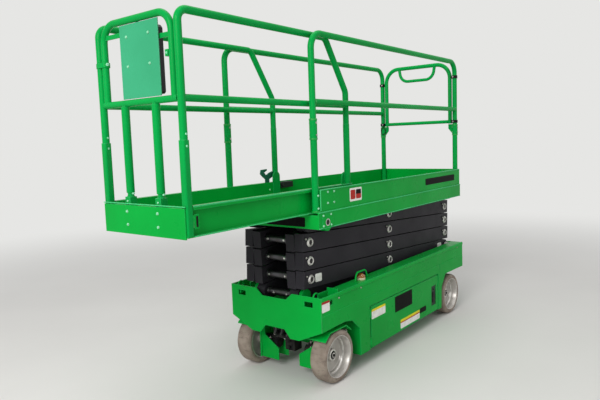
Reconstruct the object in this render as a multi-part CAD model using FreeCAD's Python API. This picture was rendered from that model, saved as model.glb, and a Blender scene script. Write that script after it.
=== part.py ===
import FreeCAD, Part
import math
import os

V = FreeCAD.Vector

# Narrow electric scissor lift. Millimetres. X points forward, to the steered wheels and the
# roll-out deck, Y to the left, Z up. The origin is on the ground under the middle of the
# whole machine with its deck extension rolled out and the scissor stowed.

# Half the chassis width; the wheels, arms, trays, platform and rails take their places from it
CHASSIS_HALF_W = 402.0

# Wheels and axles
WHEEL_D = 363.0
WHEEL_W = 127.0
WHEEL_OUT_Y = CHASSIS_HALF_W - 2.0
RIM_R = WHEEL_D / 2 - 38.5
SHOULDER = 22.0
RIM_WALL = 9.0
WHEELBASE = 1852.0
FRONT_AXLE_X = 458.0
REAR_AXLE_X = FRONT_AXLE_X - WHEELBASE
AXLE_Z = WHEEL_D / 2
WHEEL_IN_Y = WHEEL_OUT_Y - WHEEL_W
STUB_R = 30.0
STUB_END_Y = WHEEL_OUT_Y - 72.0
KINGPIN_Y = WHEEL_OUT_Y - 90.0
KINGPIN_R = 25.0
HOUSING_R = 45.0
STEER_ARM = WHEEL_D / 2 + 24.5
STEER_PIN_R = 8.0

# Chassis
PLATE = 8.0
CHASSIS_FRONT_X = 657.0
CHASSIS_REAR_X = -1655.0
REAR_INSET = 23.0
CHASSIS_LOW_Z = 105.0
WELL_TOP_Z = WHEEL_D + 37.0
FLOOR_TOP_Z = WELL_TOP_Z + 90.0
CHASSIS_TOP_Z = FLOOR_TOP_Z + 140.0
WELL_FRONT_X = FRONT_AXLE_X - 265.0
WELL_REAR_X = REAR_AXLE_X + WHEEL_D / 2 + 40.5
INNER_WALL_Y = CHASSIS_HALF_W - 97.0
SPINE_HALF_W = 45.0
NOSE_T = 6.0
STOP_REAR_X = 445.0
STOP_FRONT_X = 558.0
STOP_H = 18.0
LADDER_REAR_X = -1690.0
LADDER_HALF_W = 170.0
RUNG_STEP = 150.0

# Swing-out trays
TRAY_REAR_X = WELL_REAR_X + 65.0
TRAY_FRONT_X = 60.0
TRAY_TOP_Z = WELL_TOP_Z + 30.0
DOOR_GAP = 5.0
TRAY_AXIS_X = 53.0
HINGE_R = 6.0

# Scissor pack: four levels, front ends on fixed pins, rear ends on rollers
LEVELS = 4
PIN_SPAN = 2136.0
LEVEL_RISE = 125.8
FRONT_PIN_X = 566.6
FIRST_PIN_Z = FLOOR_TOP_Z + 107.0
ARM_H = 118.0
ARM_W = 70.0
ARM_OVERHANG = 74.0
OUTER_ARM_Y = CHASSIS_HALF_W - 214.0
INNER_ARM_Y = OUTER_ARM_Y - ARM_W - 5.0
PIN_R = 25.0
PIN_PROUD = 5.0
ROLLER_IN_Y = OUTER_ARM_Y + ARM_W + 10.0
ROLLER_OUT_Y = INNER_WALL_Y - 5.0
CHASSIS_ROLLER_R = 36.0
DECK_ROLLER_R = 40.0
CYLINDER_FOOT = 1500.0
CYLINDER_HEAD = 700.0
BARREL_R = 38.0
ROD_R = 22.0

# Running fits and gaps
FIT = 0.05
OPEN_FIT = 0.5
SEAT = 0.3
CLEAR = 5.0

# Platform
DECK_FRONT_X = 663.0
DECK_REAR_X = -1584.0
BEAM_OUT_Y = CHASSIS_HALF_W + 10.0
BEAM_LOW_Z = FIRST_PIN_Z + LEVELS * LEVEL_RISE - 19.2
BEAM_TOP_Z = BEAM_LOW_Z + 110.0
BEAM_FLANGE = 55.0
FLOOR_LOW_Z = BEAM_TOP_Z - 27.0
FLOOR_SHEET = 8.0
PANEL_OUT_Y = BEAM_OUT_Y - 6.0
PANEL_T = 6.0
PANEL_TOP_Z = BEAM_TOP_Z + 143.0
PANEL_FRONT_X = 635.0

# Guard rails
POST_R = 22.0
SLEEVE_R = 25.0
RAIL_R = 20.5
MID_RAIL_R = 19.0
RAIL_H = 1142.0
RAIL_TOP_Z = BEAM_TOP_Z + RAIL_H
MID_RAIL_Z = BEAM_TOP_Z + 0.6095 * RAIL_H
RAIL_BEND = 100.0
RAIL_Y = BEAM_OUT_Y - 34.0
RAIL_FRONT_X = 648.0
RAIL_REAR_X = -1554.0
SLEEVE_Z = BEAM_TOP_Z + 0.411 * RAIL_H
GATE_Y = RAIL_Y - 46.0
GATE_R = 18.0
GATE_TOP_Z = RAIL_TOP_Z - 8.0
GATE_LOW_Z = BEAM_TOP_Z + 0.5115 * RAIL_H
GATE_BEND = 130.0

# Roll-out deck extension
EXT_FRONT_X = 1690.0
EXT_REAR_X = 173.0
EXT_OUT_Y = BEAM_OUT_Y - 62.0
EXT_WEB_Y = EXT_OUT_Y - 32.0
EXT_LOW_Z = FLOOR_LOW_Z + 16.0
EXT_TOP_Z = EXT_LOW_Z + 160.0
EXT_RAIL_Y = EXT_OUT_Y - 19.0
EXT_POST_X = 1660.0
EXT_POST_HALF = 21.0
EXT_POST_CORNER = 10.0
EXT_RAIL_TOP_Z = RAIL_TOP_Z - 5.0
EXT_MID_Z = MID_RAIL_Z - 9.0
EXT_REAR_POST_X = 203.0
SLOPE_TOP_X = 428.0
SLOPE_LOW_Z = BEAM_TOP_Z + 0.682 * RAIL_H
FRONT_HOOP_Y = EXT_RAIL_Y - 46.0
MID_POST_Y = 130.0
PLATE_RIGHT_Y = -MID_POST_Y
PLATE_LEFT_Y = MID_POST_Y + 58.0
BOX_DEPTH = 36.0

# Worked out from the sizes above
ARM_L = math.hypot(PIN_SPAN, LEVEL_RISE)
STOWED = math.degrees(math.atan2(LEVEL_RISE, PIN_SPAN))
REAR_PIN_X = FRONT_PIN_X - PIN_SPAN
MID_PIN_X = FRONT_PIN_X - PIN_SPAN / 2
DECK_TOP_Z = FLOOR_LOW_Z + FLOOR_SHEET
LAST_PIN_Z = FIRST_PIN_Z + LEVELS * LEVEL_RISE
BEAM_IN_Y = BEAM_OUT_Y - PLATE
SIDE_IN_Y = CHASSIS_HALF_W - PLATE
EXT_FLOOR_Z = EXT_LOW_Z + FLOOR_SHEET


def box(x0, x1, y0, y1, z0, z1):
    return Part.makeBox(x1 - x0, y1 - y0, z1 - z0, V(x0, y0, z0))


def rod(start, end, radius):
    run = V(*end) - V(*start)
    return Part.makeCylinder(radius, run.Length, V(*start), run)


def pin_y(x, z, y0, y1, radius):
    return rod((x, y0, z), (x, y1, z), radius)


def outline_xz(points, y0, y1):
    wire = Part.makePolygon([V(x, y0, z) for x, z in points + points[:1]])
    return Part.Face(wire).extrude(V(0, y1 - y0, 0))


def outline_yz(points, x0, x1):
    wire = Part.makePolygon([V(x0, y, z) for y, z in points + points[:1]])
    return Part.Face(wire).extrude(V(x1 - x0, 0, 0))


def join(*shapes):
    return shapes[0].fuse(list(shapes[1:])).removeSplitter()


def mirror(shape):
    return shape.mirror(V(0, 0, 0), V(0, 1, 0))


def bent_tube(points, bend, radius):
    """Round tube along straight runs with an arc of the given radius at each corner."""
    corners = [V(*p) for p in points]
    edges = []
    start = corners[0]
    for before, corner, after in zip(corners, corners[1:], corners[2:]):
        back = (before - corner).normalize()
        ahead = (after - corner).normalize()
        half = back.getAngle(ahead) / 2
        cut = bend / math.tan(half)
        p = corner + back * cut
        q = corner + ahead * cut
        middle = corner + (back + ahead).normalize() * (bend / math.sin(half) - bend)
        edges.append(Part.LineSegment(start, p).toShape())
        edges.append(Part.Arc(p, middle, q).toShape())
        start = q
    edges.append(Part.LineSegment(start, corners[-1]).toShape())
    circle = Part.Circle(corners[0], corners[1] - corners[0], radius).toShape()
    return Part.Wire(edges).makePipe(Part.Face(Part.Wire(circle)))


def revolve_y(points, x, z):
    """Solid of revolution about the line through x, z along Y; points are radius, y."""
    wire = Part.makePolygon([V(x, y, z + r) for r, y in points + points[:1]])
    return Part.Face(wire).revolve(V(x, 0, z), V(0, 1, 0), 360)


def save(name, *solids):
    shape = solids[0] if len(solids) == 1 else Part.makeCompound(list(solids))
    shape.exportStep(os.path.join("parts", name + ".step"))


# Wheels

def tyre(x, side):
    crown = WHEEL_D / 2
    profile = [
        (RIM_R, WHEEL_IN_Y),
        (crown - SHOULDER, WHEEL_IN_Y),
        (crown - SHOULDER * 0.3, WHEEL_IN_Y + SHOULDER * 0.3),
        (crown, WHEEL_IN_Y + SHOULDER),
        (crown, WHEEL_OUT_Y - SHOULDER),
        (crown - SHOULDER * 0.3, WHEEL_OUT_Y - SHOULDER * 0.3),
        (crown - SHOULDER, WHEEL_OUT_Y),
        (RIM_R, WHEEL_OUT_Y),
    ]
    shape = revolve_y(profile, x, AXLE_Z)
    return shape if side > 0 else mirror(shape)


def rim(x, side):
    """Deep-dished steel wheel: a stepped barrel, a flat disc and a hub collar with its cap."""
    disc_y = WHEEL_OUT_Y - 80.0
    disc_t = 12.0
    barrel = RIM_R - RIM_WALL
    collar = STUB_R + 12.0
    profile = [
        (STUB_R + FIT, WHEEL_IN_Y + 10.0),
        (collar, WHEEL_IN_Y + 10.0),
        (collar, disc_y - disc_t),
        (barrel, disc_y - disc_t),
        (barrel, WHEEL_IN_Y + 4.0),
        (RIM_R, WHEEL_IN_Y + 4.0),
        (RIM_R, WHEEL_OUT_Y - 4.0),
        (barrel, WHEEL_OUT_Y - 4.0),
        (barrel - 5.0, disc_y + 27.0),
        (barrel - 13.0, disc_y + 19.0),
        (barrel - 15.0, disc_y),
        (collar, disc_y),
        (collar - 3.0, STUB_END_Y + 18.0),
        (0.0, STUB_END_Y + 18.0),
        (0.0, STUB_END_Y + 3.0),
        (STUB_R + FIT, STUB_END_Y + 3.0),
    ]
    shape = revolve_y(profile, x, AXLE_Z)
    return shape if side > 0 else mirror(shape)


def wheels():
    table = [
        ("front_left", FRONT_AXLE_X, 1),
        ("front_right", FRONT_AXLE_X, -1),
        ("rear_left", REAR_AXLE_X, 1),
        ("rear_right", REAR_AXLE_X, -1),
    ]
    for name, x, side in table:
        save("tyre_" + name, tyre(x, side))
        save("rim_" + name, rim(x, side))


# Steering

YOKE_HALF = 70.0
YOKE_OUT_Y = WHEEL_IN_Y - 11.0
YOKE_WALL = 12.0
YOKE_LOW_Z = AXLE_Z - 111.5
YOKE_TOE_Y = KINGPIN_Y - 215.0
ROOF_T = 8.0
ROOF_LOW_Z = WHEEL_D + CLEAR
ROOF_TOP_Z = ROOF_LOW_Z + ROOF_T
ROOF_HALF = 96.0
ROOF_OUT_Y = WHEEL_OUT_Y - 3.0
FLAP_RUN = 60.0
FLAP_DROP = 46.0
ARM_LOW_Z = AXLE_Z + 75.5
ARM_TOP_Z = ARM_LOW_Z + 12.0
EYE_R = 16.0
EYE_H = 22.0


def knuckle():
    """One-sided fork: a roof over the tyre under the kingpin, an upright and the wheel stub."""
    x = FRONT_AXLE_X
    inner_y = YOKE_OUT_Y - 40.0
    upright = box(x - YOKE_HALF, x + YOKE_HALF, YOKE_OUT_Y - YOKE_WALL, YOKE_OUT_Y,
                  YOKE_LOW_Z, ROOF_LOW_Z)
    half = [(ROOF_HALF, ROOF_TOP_Z), (ROOF_HALF + FLAP_RUN, ROOF_TOP_Z - FLAP_DROP),
            (ROOF_HALF + FLAP_RUN, ROOF_TOP_Z - FLAP_DROP - ROOF_T), (ROOF_HALF, ROOF_LOW_Z)]
    outline = [(x + dx, z) for dx, z in half] + [(x - dx, z) for dx, z in reversed(half)]
    roof = outline_xz(outline, inner_y, ROOF_OUT_Y)
    web = [(YOKE_OUT_Y, ROOF_LOW_Z), (YOKE_OUT_Y, YOKE_LOW_Z), (YOKE_TOE_Y, YOKE_LOW_Z),
           (YOKE_TOE_Y, AXLE_Z - 25.5), (inner_y, AXLE_Z + 59.5), (inner_y, ROOF_LOW_Z)]
    webs = [outline_yz(web, x + dx - ROOF_T / 2, x + dx + ROOF_T / 2) for dx in (-55.0, 55.0)]
    kingpin = rod((x, KINGPIN_Y, ROOF_TOP_Z), (x, KINGPIN_Y, FLOOR_TOP_Z - PLATE - 12.0), KINGPIN_R)
    stub = pin_y(x, AXLE_Z, YOKE_OUT_Y, STUB_END_Y, STUB_R)
    eye_x = x - STEER_ARM
    arm = join(
        box(eye_x - EYE_R, x - YOKE_HALF + 10.0, YOKE_OUT_Y - EYE_R, YOKE_OUT_Y,
            ARM_LOW_Z, ARM_TOP_Z),
        box(eye_x - EYE_R, eye_x + EYE_R, YOKE_OUT_Y - EYE_R, KINGPIN_Y, ARM_LOW_Z, ARM_TOP_Z),
        rod((eye_x, KINGPIN_Y, ARM_LOW_Z), (eye_x, KINGPIN_Y, ARM_TOP_Z), EYE_R),
        rod((eye_x, KINGPIN_Y, ARM_LOW_Z), (eye_x, KINGPIN_Y, ARM_TOP_Z + EYE_H + 8.0),
            STEER_PIN_R))
    return join(upright, roof, kingpin, stub, arm, *webs)


def drive_motor():
    """Hydraulic wheel motor, bolted to the inside of the fork's upright."""
    x = FRONT_AXLE_X
    face = YOKE_OUT_Y - YOKE_WALL
    body = pin_y(x, AXLE_Z, face - 62.0, face, 46.0)
    cover = pin_y(x, AXLE_Z, face - 125.0, face - 62.0, 38.0)
    port = box(x - 22.0, x + 22.0, face - 100.0, face - 66.0, AXLE_Z, AXLE_Z + 54.0)
    return join(body, cover, port)


def tie_rod():
    """Bar behind the wheels that keeps both knuckles parallel."""
    x = FRONT_AXLE_X - STEER_ARM
    low = ARM_TOP_Z + 2.0
    middle = low + EYE_H / 2
    pieces = [pin_y(x, middle, -KINGPIN_Y, KINGPIN_Y, 9.0)]
    bores = []
    for y, fit in ((KINGPIN_Y, FIT), (-KINGPIN_Y, OPEN_FIT)):
        pieces.append(rod((x, y, low), (x, y, low + EYE_H), EYE_R))
        bores.append(rod((x, y, low - 1.0), (x, y, low + EYE_H + 1.0), STEER_PIN_R + fit))
    return join(*pieces).cut(bores)


def steering():
    save("tie_rod", tie_rod())
    save("knuckle_left", knuckle())
    save("knuckle_right", mirror(knuckle()))
    save("drive_motor_left", drive_motor())
    save("drive_motor_right", mirror(drive_motor()))


# Chassis

HINGE_HEIGHTS = (CHASSIS_LOW_Z + 60.0, TRAY_TOP_Z - 55.0)
HINGE_H = 30.0


def side_plate():
    """Outer plate of one side, with the wheel arches and the tray opening cut out."""
    outline = [
        (CHASSIS_FRONT_X - NOSE_T, CHASSIS_TOP_Z),
        (CHASSIS_FRONT_X - NOSE_T, WELL_TOP_Z),
        (WELL_FRONT_X + 200.0, WELL_TOP_Z + 8.0),
        (WELL_FRONT_X + 103.0, WELL_TOP_Z - 11.0),
        (WELL_FRONT_X + 7.0, WELL_TOP_Z - 94.0),
        (WELL_FRONT_X, CHASSIS_LOW_Z),
        (TRAY_FRONT_X, CHASSIS_LOW_Z),
        (TRAY_FRONT_X, TRAY_TOP_Z),
        (TRAY_REAR_X, TRAY_TOP_Z),
        (TRAY_REAR_X, CHASSIS_LOW_Z),
        (WELL_REAR_X, CHASSIS_LOW_Z),
        (WELL_REAR_X - 8.0, WELL_TOP_Z - 100.0),
        (WELL_REAR_X - 90.0, WELL_TOP_Z),
        (CHASSIS_REAR_X, WELL_TOP_Z - 4.0),
        (CHASSIS_REAR_X, CHASSIS_TOP_Z),
    ]
    plate = outline_xz(outline, SIDE_IN_Y, CHASSIS_HALF_W)
    hole_z = CHASSIS_TOP_Z - 50.0
    hole = [pin_y(STOP_FRONT_X - 15.0, z, SIDE_IN_Y - 1.0, CHASSIS_HALF_W + 1.0, 17.0)
            for z in (hole_z - 4.0, hole_z + 4.0)]
    pieces = [plate.cut(hole)]
    for z in HINGE_HEIGHTS:
        pieces.append(rod((TRAY_AXIS_X, CHASSIS_HALF_W, z - HINGE_H),
                          (TRAY_AXIS_X, CHASSIS_HALF_W, z), HINGE_R))
        pieces.append(box(TRAY_AXIS_X, TRAY_FRONT_X, CHASSIS_HALF_W - 4.0,
                          CHASSIS_HALF_W + 2.0, z - HINGE_H, z))
    return join(*pieces)


def front_plate():
    """Nose plate with its notched top and bottom edges and two tie-down slots."""
    notch_z = CHASSIS_TOP_Z - 47.0
    chin_z = WELL_TOP_Z - 85.0
    half = [
        (0.0, notch_z), (105.0, notch_z), (160.0, CHASSIS_TOP_Z),
        (CHASSIS_HALF_W, CHASSIS_TOP_Z), (CHASSIS_HALF_W - 3.0, WELL_TOP_Z),
        (210.0, chin_z), (135.0, chin_z), (85.0, chin_z + 58.0), (0.0, chin_z + 58.0),
    ]
    outline = half + [(-y, z) for y, z in reversed(half[1:-1])]
    plate = outline_yz(outline, CHASSIS_FRONT_X - NOSE_T, CHASSIS_FRONT_X)
    slots = [box(CHASSIS_FRONT_X - 2 * NOSE_T, CHASSIS_FRONT_X + NOSE_T,
                 *sorted((s * (CHASSIS_HALF_W - 138.0), s * (CHASSIS_HALF_W - 68.0))),
                 CHASSIS_TOP_Z - 70.0, CHASSIS_TOP_Z - 35.0)
             for s in (-1, 1)]
    return plate.cut(slots)


def chassis_deck():
    """Floor under the scissor pack, side boxes, roller tracks and the front pivot lugs."""
    rear = CHASSIS_REAR_X + REAR_INSET
    front = CHASSIS_FRONT_X - NOSE_T
    floor = box(rear, front, -SIDE_IN_Y, SIDE_IN_Y, FLOOR_TOP_Z - PLATE, FLOOR_TOP_Z)
    pieces = [floor]
    track_top = FIRST_PIN_Z - CHASSIS_ROLLER_R - SEAT
    for s in (-1, 1):
        wall = box(rear, STOP_FRONT_X, INNER_WALL_Y, INNER_WALL_Y + PLATE,
                   FLOOR_TOP_Z, CHASSIS_TOP_Z)
        lid = box(rear, STOP_REAR_X, INNER_WALL_Y, SIDE_IN_Y, CHASSIS_TOP_Z - PLATE, CHASSIS_TOP_Z)
        track = box(rear, -470.0, ROLLER_IN_Y, INNER_WALL_Y, track_top - PLATE, track_top)
        stop = box(STOP_REAR_X, STOP_REAR_X + PLATE, INNER_WALL_Y, SIDE_IN_Y,
                   FLOOR_TOP_Z, CHASSIS_TOP_Z + STOP_H)
        lug_y = OUTER_ARM_Y + 2.0
        lug = join(
            box(FRONT_PIN_X - 52.0, FRONT_PIN_X + 52.0, lug_y, lug_y + 24.0,
                FLOOR_TOP_Z, FIRST_PIN_Z),
            pin_y(FRONT_PIN_X, FIRST_PIN_Z, lug_y, lug_y + 24.0, 52.0))
        for piece in (wall, lid, track, stop, lug):
            pieces.append(piece if s > 0 else mirror(piece))
    pieces.append(pin_y(FRONT_PIN_X, FIRST_PIN_Z, -(OUTER_ARM_Y + 26.0),
                        OUTER_ARM_Y + 26.0, PIN_R))
    return join(*pieces)


GUARD_IN_Y = INNER_WALL_Y - 5.0
GUARD_OUT_Y = SIDE_IN_Y - 8.0
GUARD_LOW_Z = CHASSIS_LOW_Z + 1.0
GUARD_T = 20.0
GUARD_FRONT_X = WELL_FRONT_X - 23.0
GUARD_REAR_X = WELL_REAR_X + 22.0
GUARD_TOP_Z = WELL_TOP_Z - 40.0


def chassis_spine():
    """Centre box, cross bulkheads, wheel-well roofs, kingpin housings and guard guides."""
    low = CHASSIS_LOW_Z
    top = FLOOR_TOP_Z - PLATE
    front = CHASSIS_FRONT_X - NOSE_T
    rear = CHASSIS_REAR_X + REAR_INSET
    side = SIDE_IN_Y
    pieces = [
        box(WELL_REAR_X, WELL_FRONT_X, -SPINE_HALF_W, SPINE_HALF_W, low + 25.0, top),
        box(WELL_FRONT_X - PLATE, WELL_FRONT_X, -side, side, low, top),
        box(WELL_REAR_X, WELL_REAR_X + PLATE, -side, side, low, top),
        box(WELL_FRONT_X, front, -side, side, WELL_TOP_Z, WELL_TOP_Z + PLATE),
        box(rear, WELL_REAR_X, -side, side, WELL_TOP_Z, WELL_TOP_Z + PLATE),
    ]
    for s in (-1, 1):
        housing = rod((FRONT_AXLE_X, s * KINGPIN_Y, ROOF_TOP_Z + SEAT),
                      (FRONT_AXLE_X, s * KINGPIN_Y, top), HOUSING_R)
        pieces.append(housing)
        for x0, x1 in ((GUARD_FRONT_X + SEAT, WELL_FRONT_X), (WELL_REAR_X, GUARD_REAR_X - SEAT)):
            guide = box(x0, x1, GUARD_IN_Y, GUARD_OUT_Y, GUARD_TOP_Z - 160.0, GUARD_TOP_Z + 20.0)
            pieces.append(guide if s > 0 else mirror(guide))
        web = box(front - 300.0, front - 292.0, -side, side, WELL_TOP_Z, top)
        pieces.append(web)
    bores = [rod((FRONT_AXLE_X, s * KINGPIN_Y, ROOF_TOP_Z),
                 (FRONT_AXLE_X, s * KINGPIN_Y, top - 10.0), KINGPIN_R + FIT) for s in (-1, 1)]
    return join(*pieces).cut(bores)


def rear_plate():
    """Full width above the wheel wells, and only as wide as the gap between the tyres below."""
    x1 = CHASSIS_REAR_X + REAR_INSET
    low_y = WHEEL_IN_Y - 23.0
    half = [(SIDE_IN_Y, CHASSIS_TOP_Z), (SIDE_IN_Y, WELL_TOP_Z), (low_y, WELL_TOP_Z - 20.0),
            (low_y, CHASSIS_LOW_Z + 35.0)]
    return outline_yz(half + [(-y, z) for y, z in reversed(half)], x1 - PLATE, x1)


def rear_ladder():
    """Two upright bars with three round rungs, welded to the rear plate."""
    x1 = CHASSIS_REAR_X + REAR_INSET - PLATE
    pieces = []
    for s in (-1, 1):
        y = s * LADDER_HALF_W
        pieces.append(box(LADDER_REAR_X, x1, y - 5.0, y + 5.0,
                          CHASSIS_LOW_Z + 45.0, CHASSIS_TOP_Z - 15.0))
    for rung in range(3):
        z = CHASSIS_LOW_Z + 75.0 + rung * RUNG_STEP
        pieces.append(pin_y(LADDER_REAR_X + 16.0, z, -LADDER_HALF_W, LADDER_HALF_W, 13.0))
    return join(*pieces)


def rear_axle():
    """Fixed rear axle tube, its two hangers and the stubs for the rear wheels."""
    x = REAR_AXLE_X
    tube = pin_y(x, AXLE_Z, -(WHEEL_IN_Y - 15.0), WHEEL_IN_Y - 15.0, 38.0)
    stub = pin_y(x, AXLE_Z, -STUB_END_Y, STUB_END_Y, STUB_R)
    hangers = [box(x - 70.0, x + 70.0, y - 8.0, y + 8.0, AXLE_Z - 20.0, WELL_TOP_Z)
               for y in (63.0 - WHEEL_IN_Y, WHEEL_IN_Y - 63.0)]
    return join(tube, stub, *hangers)


BEACON_X = 84.0
BEACON_Y = CHASSIS_HALF_W - 52.0


def beacon():
    z = CHASSIS_TOP_Z
    lens = rod((BEACON_X, BEACON_Y, z), (BEACON_X, BEACON_Y, z + 32.0), 30.0)
    dome = Part.makeSphere(30.0, V(BEACON_X, BEACON_Y, z + 32.0))
    keep = rod((BEACON_X, BEACON_Y, z), (BEACON_X, BEACON_Y, z + 46.0), 30.0)
    save("beacon_light", join(lens, dome.common(keep)))
    foot = z + 1.9
    hoop = bent_tube([(BEACON_X - 82.0, BEACON_Y, foot), (BEACON_X - 62.0, BEACON_Y, z + 62.0),
                      (BEACON_X + 62.0, BEACON_Y, z + 62.0), (BEACON_X + 82.0, BEACON_Y, foot)],
                     34.0, 6.0)
    save("beacon_guard", hoop)


def chassis():
    save("chassis_sides", side_plate(), mirror(side_plate()))
    save("chassis_front_plate", front_plate())
    save("chassis_deck", chassis_deck())
    save("chassis_spine", chassis_spine())
    save("chassis_rear_plate", rear_plate())
    save("rear_ladder", rear_ladder())
    save("rear_axle", rear_axle())
    beacon()


# Swing-out trays and what they carry

TRAY_FLOOR_Z = CHASSIS_LOW_Z + 30.0
TRAY_IN_Y = SPINE_HALF_W + 30.0
TRAY_LOAD_REAR_X = TRAY_REAR_X + 62.0
TRAY_LOAD_FRONT_X = TRAY_FRONT_X - 20.0


def tray_door():
    """Outer door skin with the shelf behind it, hung on the upright axis at its front."""
    skin = box(TRAY_REAR_X + DOOR_GAP, TRAY_AXIS_X - HINGE_R, SIDE_IN_Y, CHASSIS_HALF_W,
               CHASSIS_LOW_Z + 7.0, TRAY_TOP_Z - DOOR_GAP)
    recess = box(TRAY_REAR_X + 47.0, TRAY_REAR_X + 140.0, SIDE_IN_Y + 3.0, CHASSIS_HALF_W + 1.0,
                 CHASSIS_LOW_Z + 65.0, TRAY_TOP_Z - 86.0)
    shelf = box(TRAY_LOAD_REAR_X, TRAY_LOAD_FRONT_X, TRAY_IN_Y, SIDE_IN_Y,
                TRAY_FLOOR_Z, TRAY_FLOOR_Z + PLATE)
    lip = box(TRAY_LOAD_REAR_X, TRAY_LOAD_FRONT_X, TRAY_IN_Y, TRAY_IN_Y + PLATE,
              TRAY_FLOOR_Z, TRAY_FLOOR_Z + 60.0)
    pieces = [skin.cut(recess), shelf, lip]
    for z in HINGE_HEIGHTS:
        pieces.append(rod((TRAY_AXIS_X, CHASSIS_HALF_W, z + OPEN_FIT),
                          (TRAY_AXIS_X, CHASSIS_HALF_W, z + HINGE_H), HINGE_R))
        pieces.append(box(TRAY_AXIS_X - HINGE_R, TRAY_AXIS_X, CHASSIS_HALF_W - 4.0,
                          CHASSIS_HALF_W + 2.0, z + OPEN_FIT, z + HINGE_H))
    return join(*pieces)


def battery_pack():
    gap = 13.0
    step = (TRAY_LOAD_FRONT_X - TRAY_LOAD_REAR_X - gap) / 4
    z0 = TRAY_FLOOR_Z + PLATE
    height = TRAY_TOP_Z - DOOR_GAP - 20.0 - z0
    cells = []
    for i in range(4):
        x = TRAY_LOAD_REAR_X + 8.0 + i * step
        cells.append(box(x, x + step - gap, TRAY_IN_Y + 35.0, GUARD_IN_Y - 10.0, z0, z0 + height))
    return cells


def hydraulic_unit():
    """Oil tank, pump motor and valve block on one base."""
    z0 = TRAY_FLOOR_Z + PLATE
    y0 = 64.0 - SIDE_IN_Y
    y1 = -TRAY_IN_Y - 35.0
    middle = (y0 + y1) / 2
    shaft_z = z0 + 85.0
    rear = TRAY_LOAD_REAR_X + 145.0
    run = TRAY_LOAD_FRONT_X - 100.0 - rear
    x = [rear + run * share for share in (0.024, 0.405, 0.452, 0.476, 0.679, 0.714, 0.762, 0.964)]
    base = box(rear, rear + run, y0, y1, z0, z0 + 12.0)
    tank = box(x[0], x[1], y0 + 10.0, y1 - 20.0, z0 + 12.0, z0 + 230.0)
    pump = rod((x[1], middle, shaft_z), (x[2], middle, shaft_z), 40.0)
    motor = rod((x[2], middle, shaft_z), (x[5], middle, shaft_z), 62.0)
    cradle = box(x[3], x[4], middle - 30.0, middle + 30.0, z0 + 12.0, z0 + 60.0)
    valve = box(x[6], x[7], y0 + 30.0, y1 - 40.0, z0 + 12.0, z0 + 150.0)
    return join(base, tank, motor, cradle, pump, valve)


def pothole_guard():
    """Flat bar under the tray with an upright guide at each end; it drops as the lift rises."""
    bar = box(GUARD_REAR_X, GUARD_FRONT_X, GUARD_IN_Y, GUARD_OUT_Y,
              GUARD_LOW_Z, GUARD_LOW_Z + GUARD_T)
    ends = [box(x, x + PLATE, GUARD_IN_Y, GUARD_OUT_Y, GUARD_LOW_Z, GUARD_TOP_Z)
            for x in (GUARD_REAR_X, GUARD_FRONT_X - PLATE)]
    return join(bar, *ends)


def trays():
    save("tray_door_left", tray_door())
    save("tray_door_right", mirror(tray_door()))
    save("battery_pack", *battery_pack())
    save("hydraulic_unit", hydraulic_unit())
    save("pothole_guard_left", pothole_guard())
    save("pothole_guard_right", mirror(pothole_guard()))


# Scissor arms

def arm_bar(y0, y1, round_front, round_rear):
    """One bar in its own frame: front pin at the origin, rear pin at minus ARM_L."""
    half = ARM_H / 2
    front = 0.0 if round_front else ARM_OVERHANG
    rear = -ARM_L if round_rear else -ARM_L - ARM_OVERHANG
    bar = box(rear, front, y0, y1, -half, half)
    pieces = [bar]
    if round_front:
        pieces.append(pin_y(0.0, 0.0, y0, y1, half))
    if round_rear:
        pieces.append(pin_y(-ARM_L, 0.0, y0, y1, half))
    return join(*pieces) if len(pieces) > 1 else bar


def place(shape, tilt, z):
    """Tilt about the front pin, rear end up when positive, and set the pin at height z."""
    done = shape.copy()
    done.rotate(V(0, 0, 0), V(0, 1, 0), tilt)
    done.translate(V(FRONT_PIN_X, 0, z))
    return done


def inner_arm(level):
    """Inner pair: pivots low at the front; welded to its centre pins and its rear shaft."""
    y0, y1 = INNER_ARM_Y, INNER_ARM_Y + ARM_W
    pin_end = OUTER_ARM_Y + ARM_W + PIN_PROUD
    top = level == LEVELS
    bar = arm_bar(y0, y1, level == 1, top)
    rear_end = ROLLER_OUT_Y if top else pin_end
    pieces = [bar, mirror(bar), pin_y(-ARM_L, 0.0, -rear_end, rear_end, PIN_R)]
    for s in (-1, 1):
        ends = sorted((s * y0, s * pin_end))
        pieces.append(pin_y(-ARM_L / 2, 0.0, ends[0], ends[1], PIN_R))
    if level % 2:
        pieces.append(pin_y(-CYLINDER_FOOT, 0.0, -y1, y1, ROD_R))
    else:
        pieces.append(pin_y(-ARM_L * 0.78, 0.0, -y1, y1, ROD_R))
    body = join(*pieces)
    bore = pin_y(0.0, 0.0, -y1 - CLEAR, y1 + CLEAR, PIN_R + FIT)
    return place(body.cut(bore), STOWED, FIRST_PIN_Z + (level - 1) * LEVEL_RISE)


def outer_arm(level):
    """Outer pair: pivots high at the front, on the cross shaft that it carries."""
    y0, y1 = OUTER_ARM_Y, OUTER_ARM_Y + ARM_W
    top = level == LEVELS
    bar = arm_bar(y0, y1, top, level == 1)
    shaft_end = BEAM_OUT_Y - 24.0 if top else y1 + PIN_PROUD
    bores = [pin_y(-ARM_L / 2, 0.0, s * y0 - 1.0, s * y1 + 1.0, PIN_R + FIT) for s in (1,)]
    bores += [mirror(bores[0])]
    pieces = [bar, mirror(bar), pin_y(0.0, 0.0, -shaft_end, shaft_end, PIN_R)]
    if level == 1:
        pieces.append(pin_y(-ARM_L, 0.0, -ROLLER_OUT_Y, ROLLER_OUT_Y, PIN_R))
    else:
        rear = pin_y(-ARM_L, 0.0, y0 - 1.0, y1 + 1.0, PIN_R + OPEN_FIT)
        bores += [rear, mirror(rear)]
    body = join(*pieces).cut(bores)
    return place(body, -STOWED, FIRST_PIN_Z + level * LEVEL_RISE)


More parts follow.
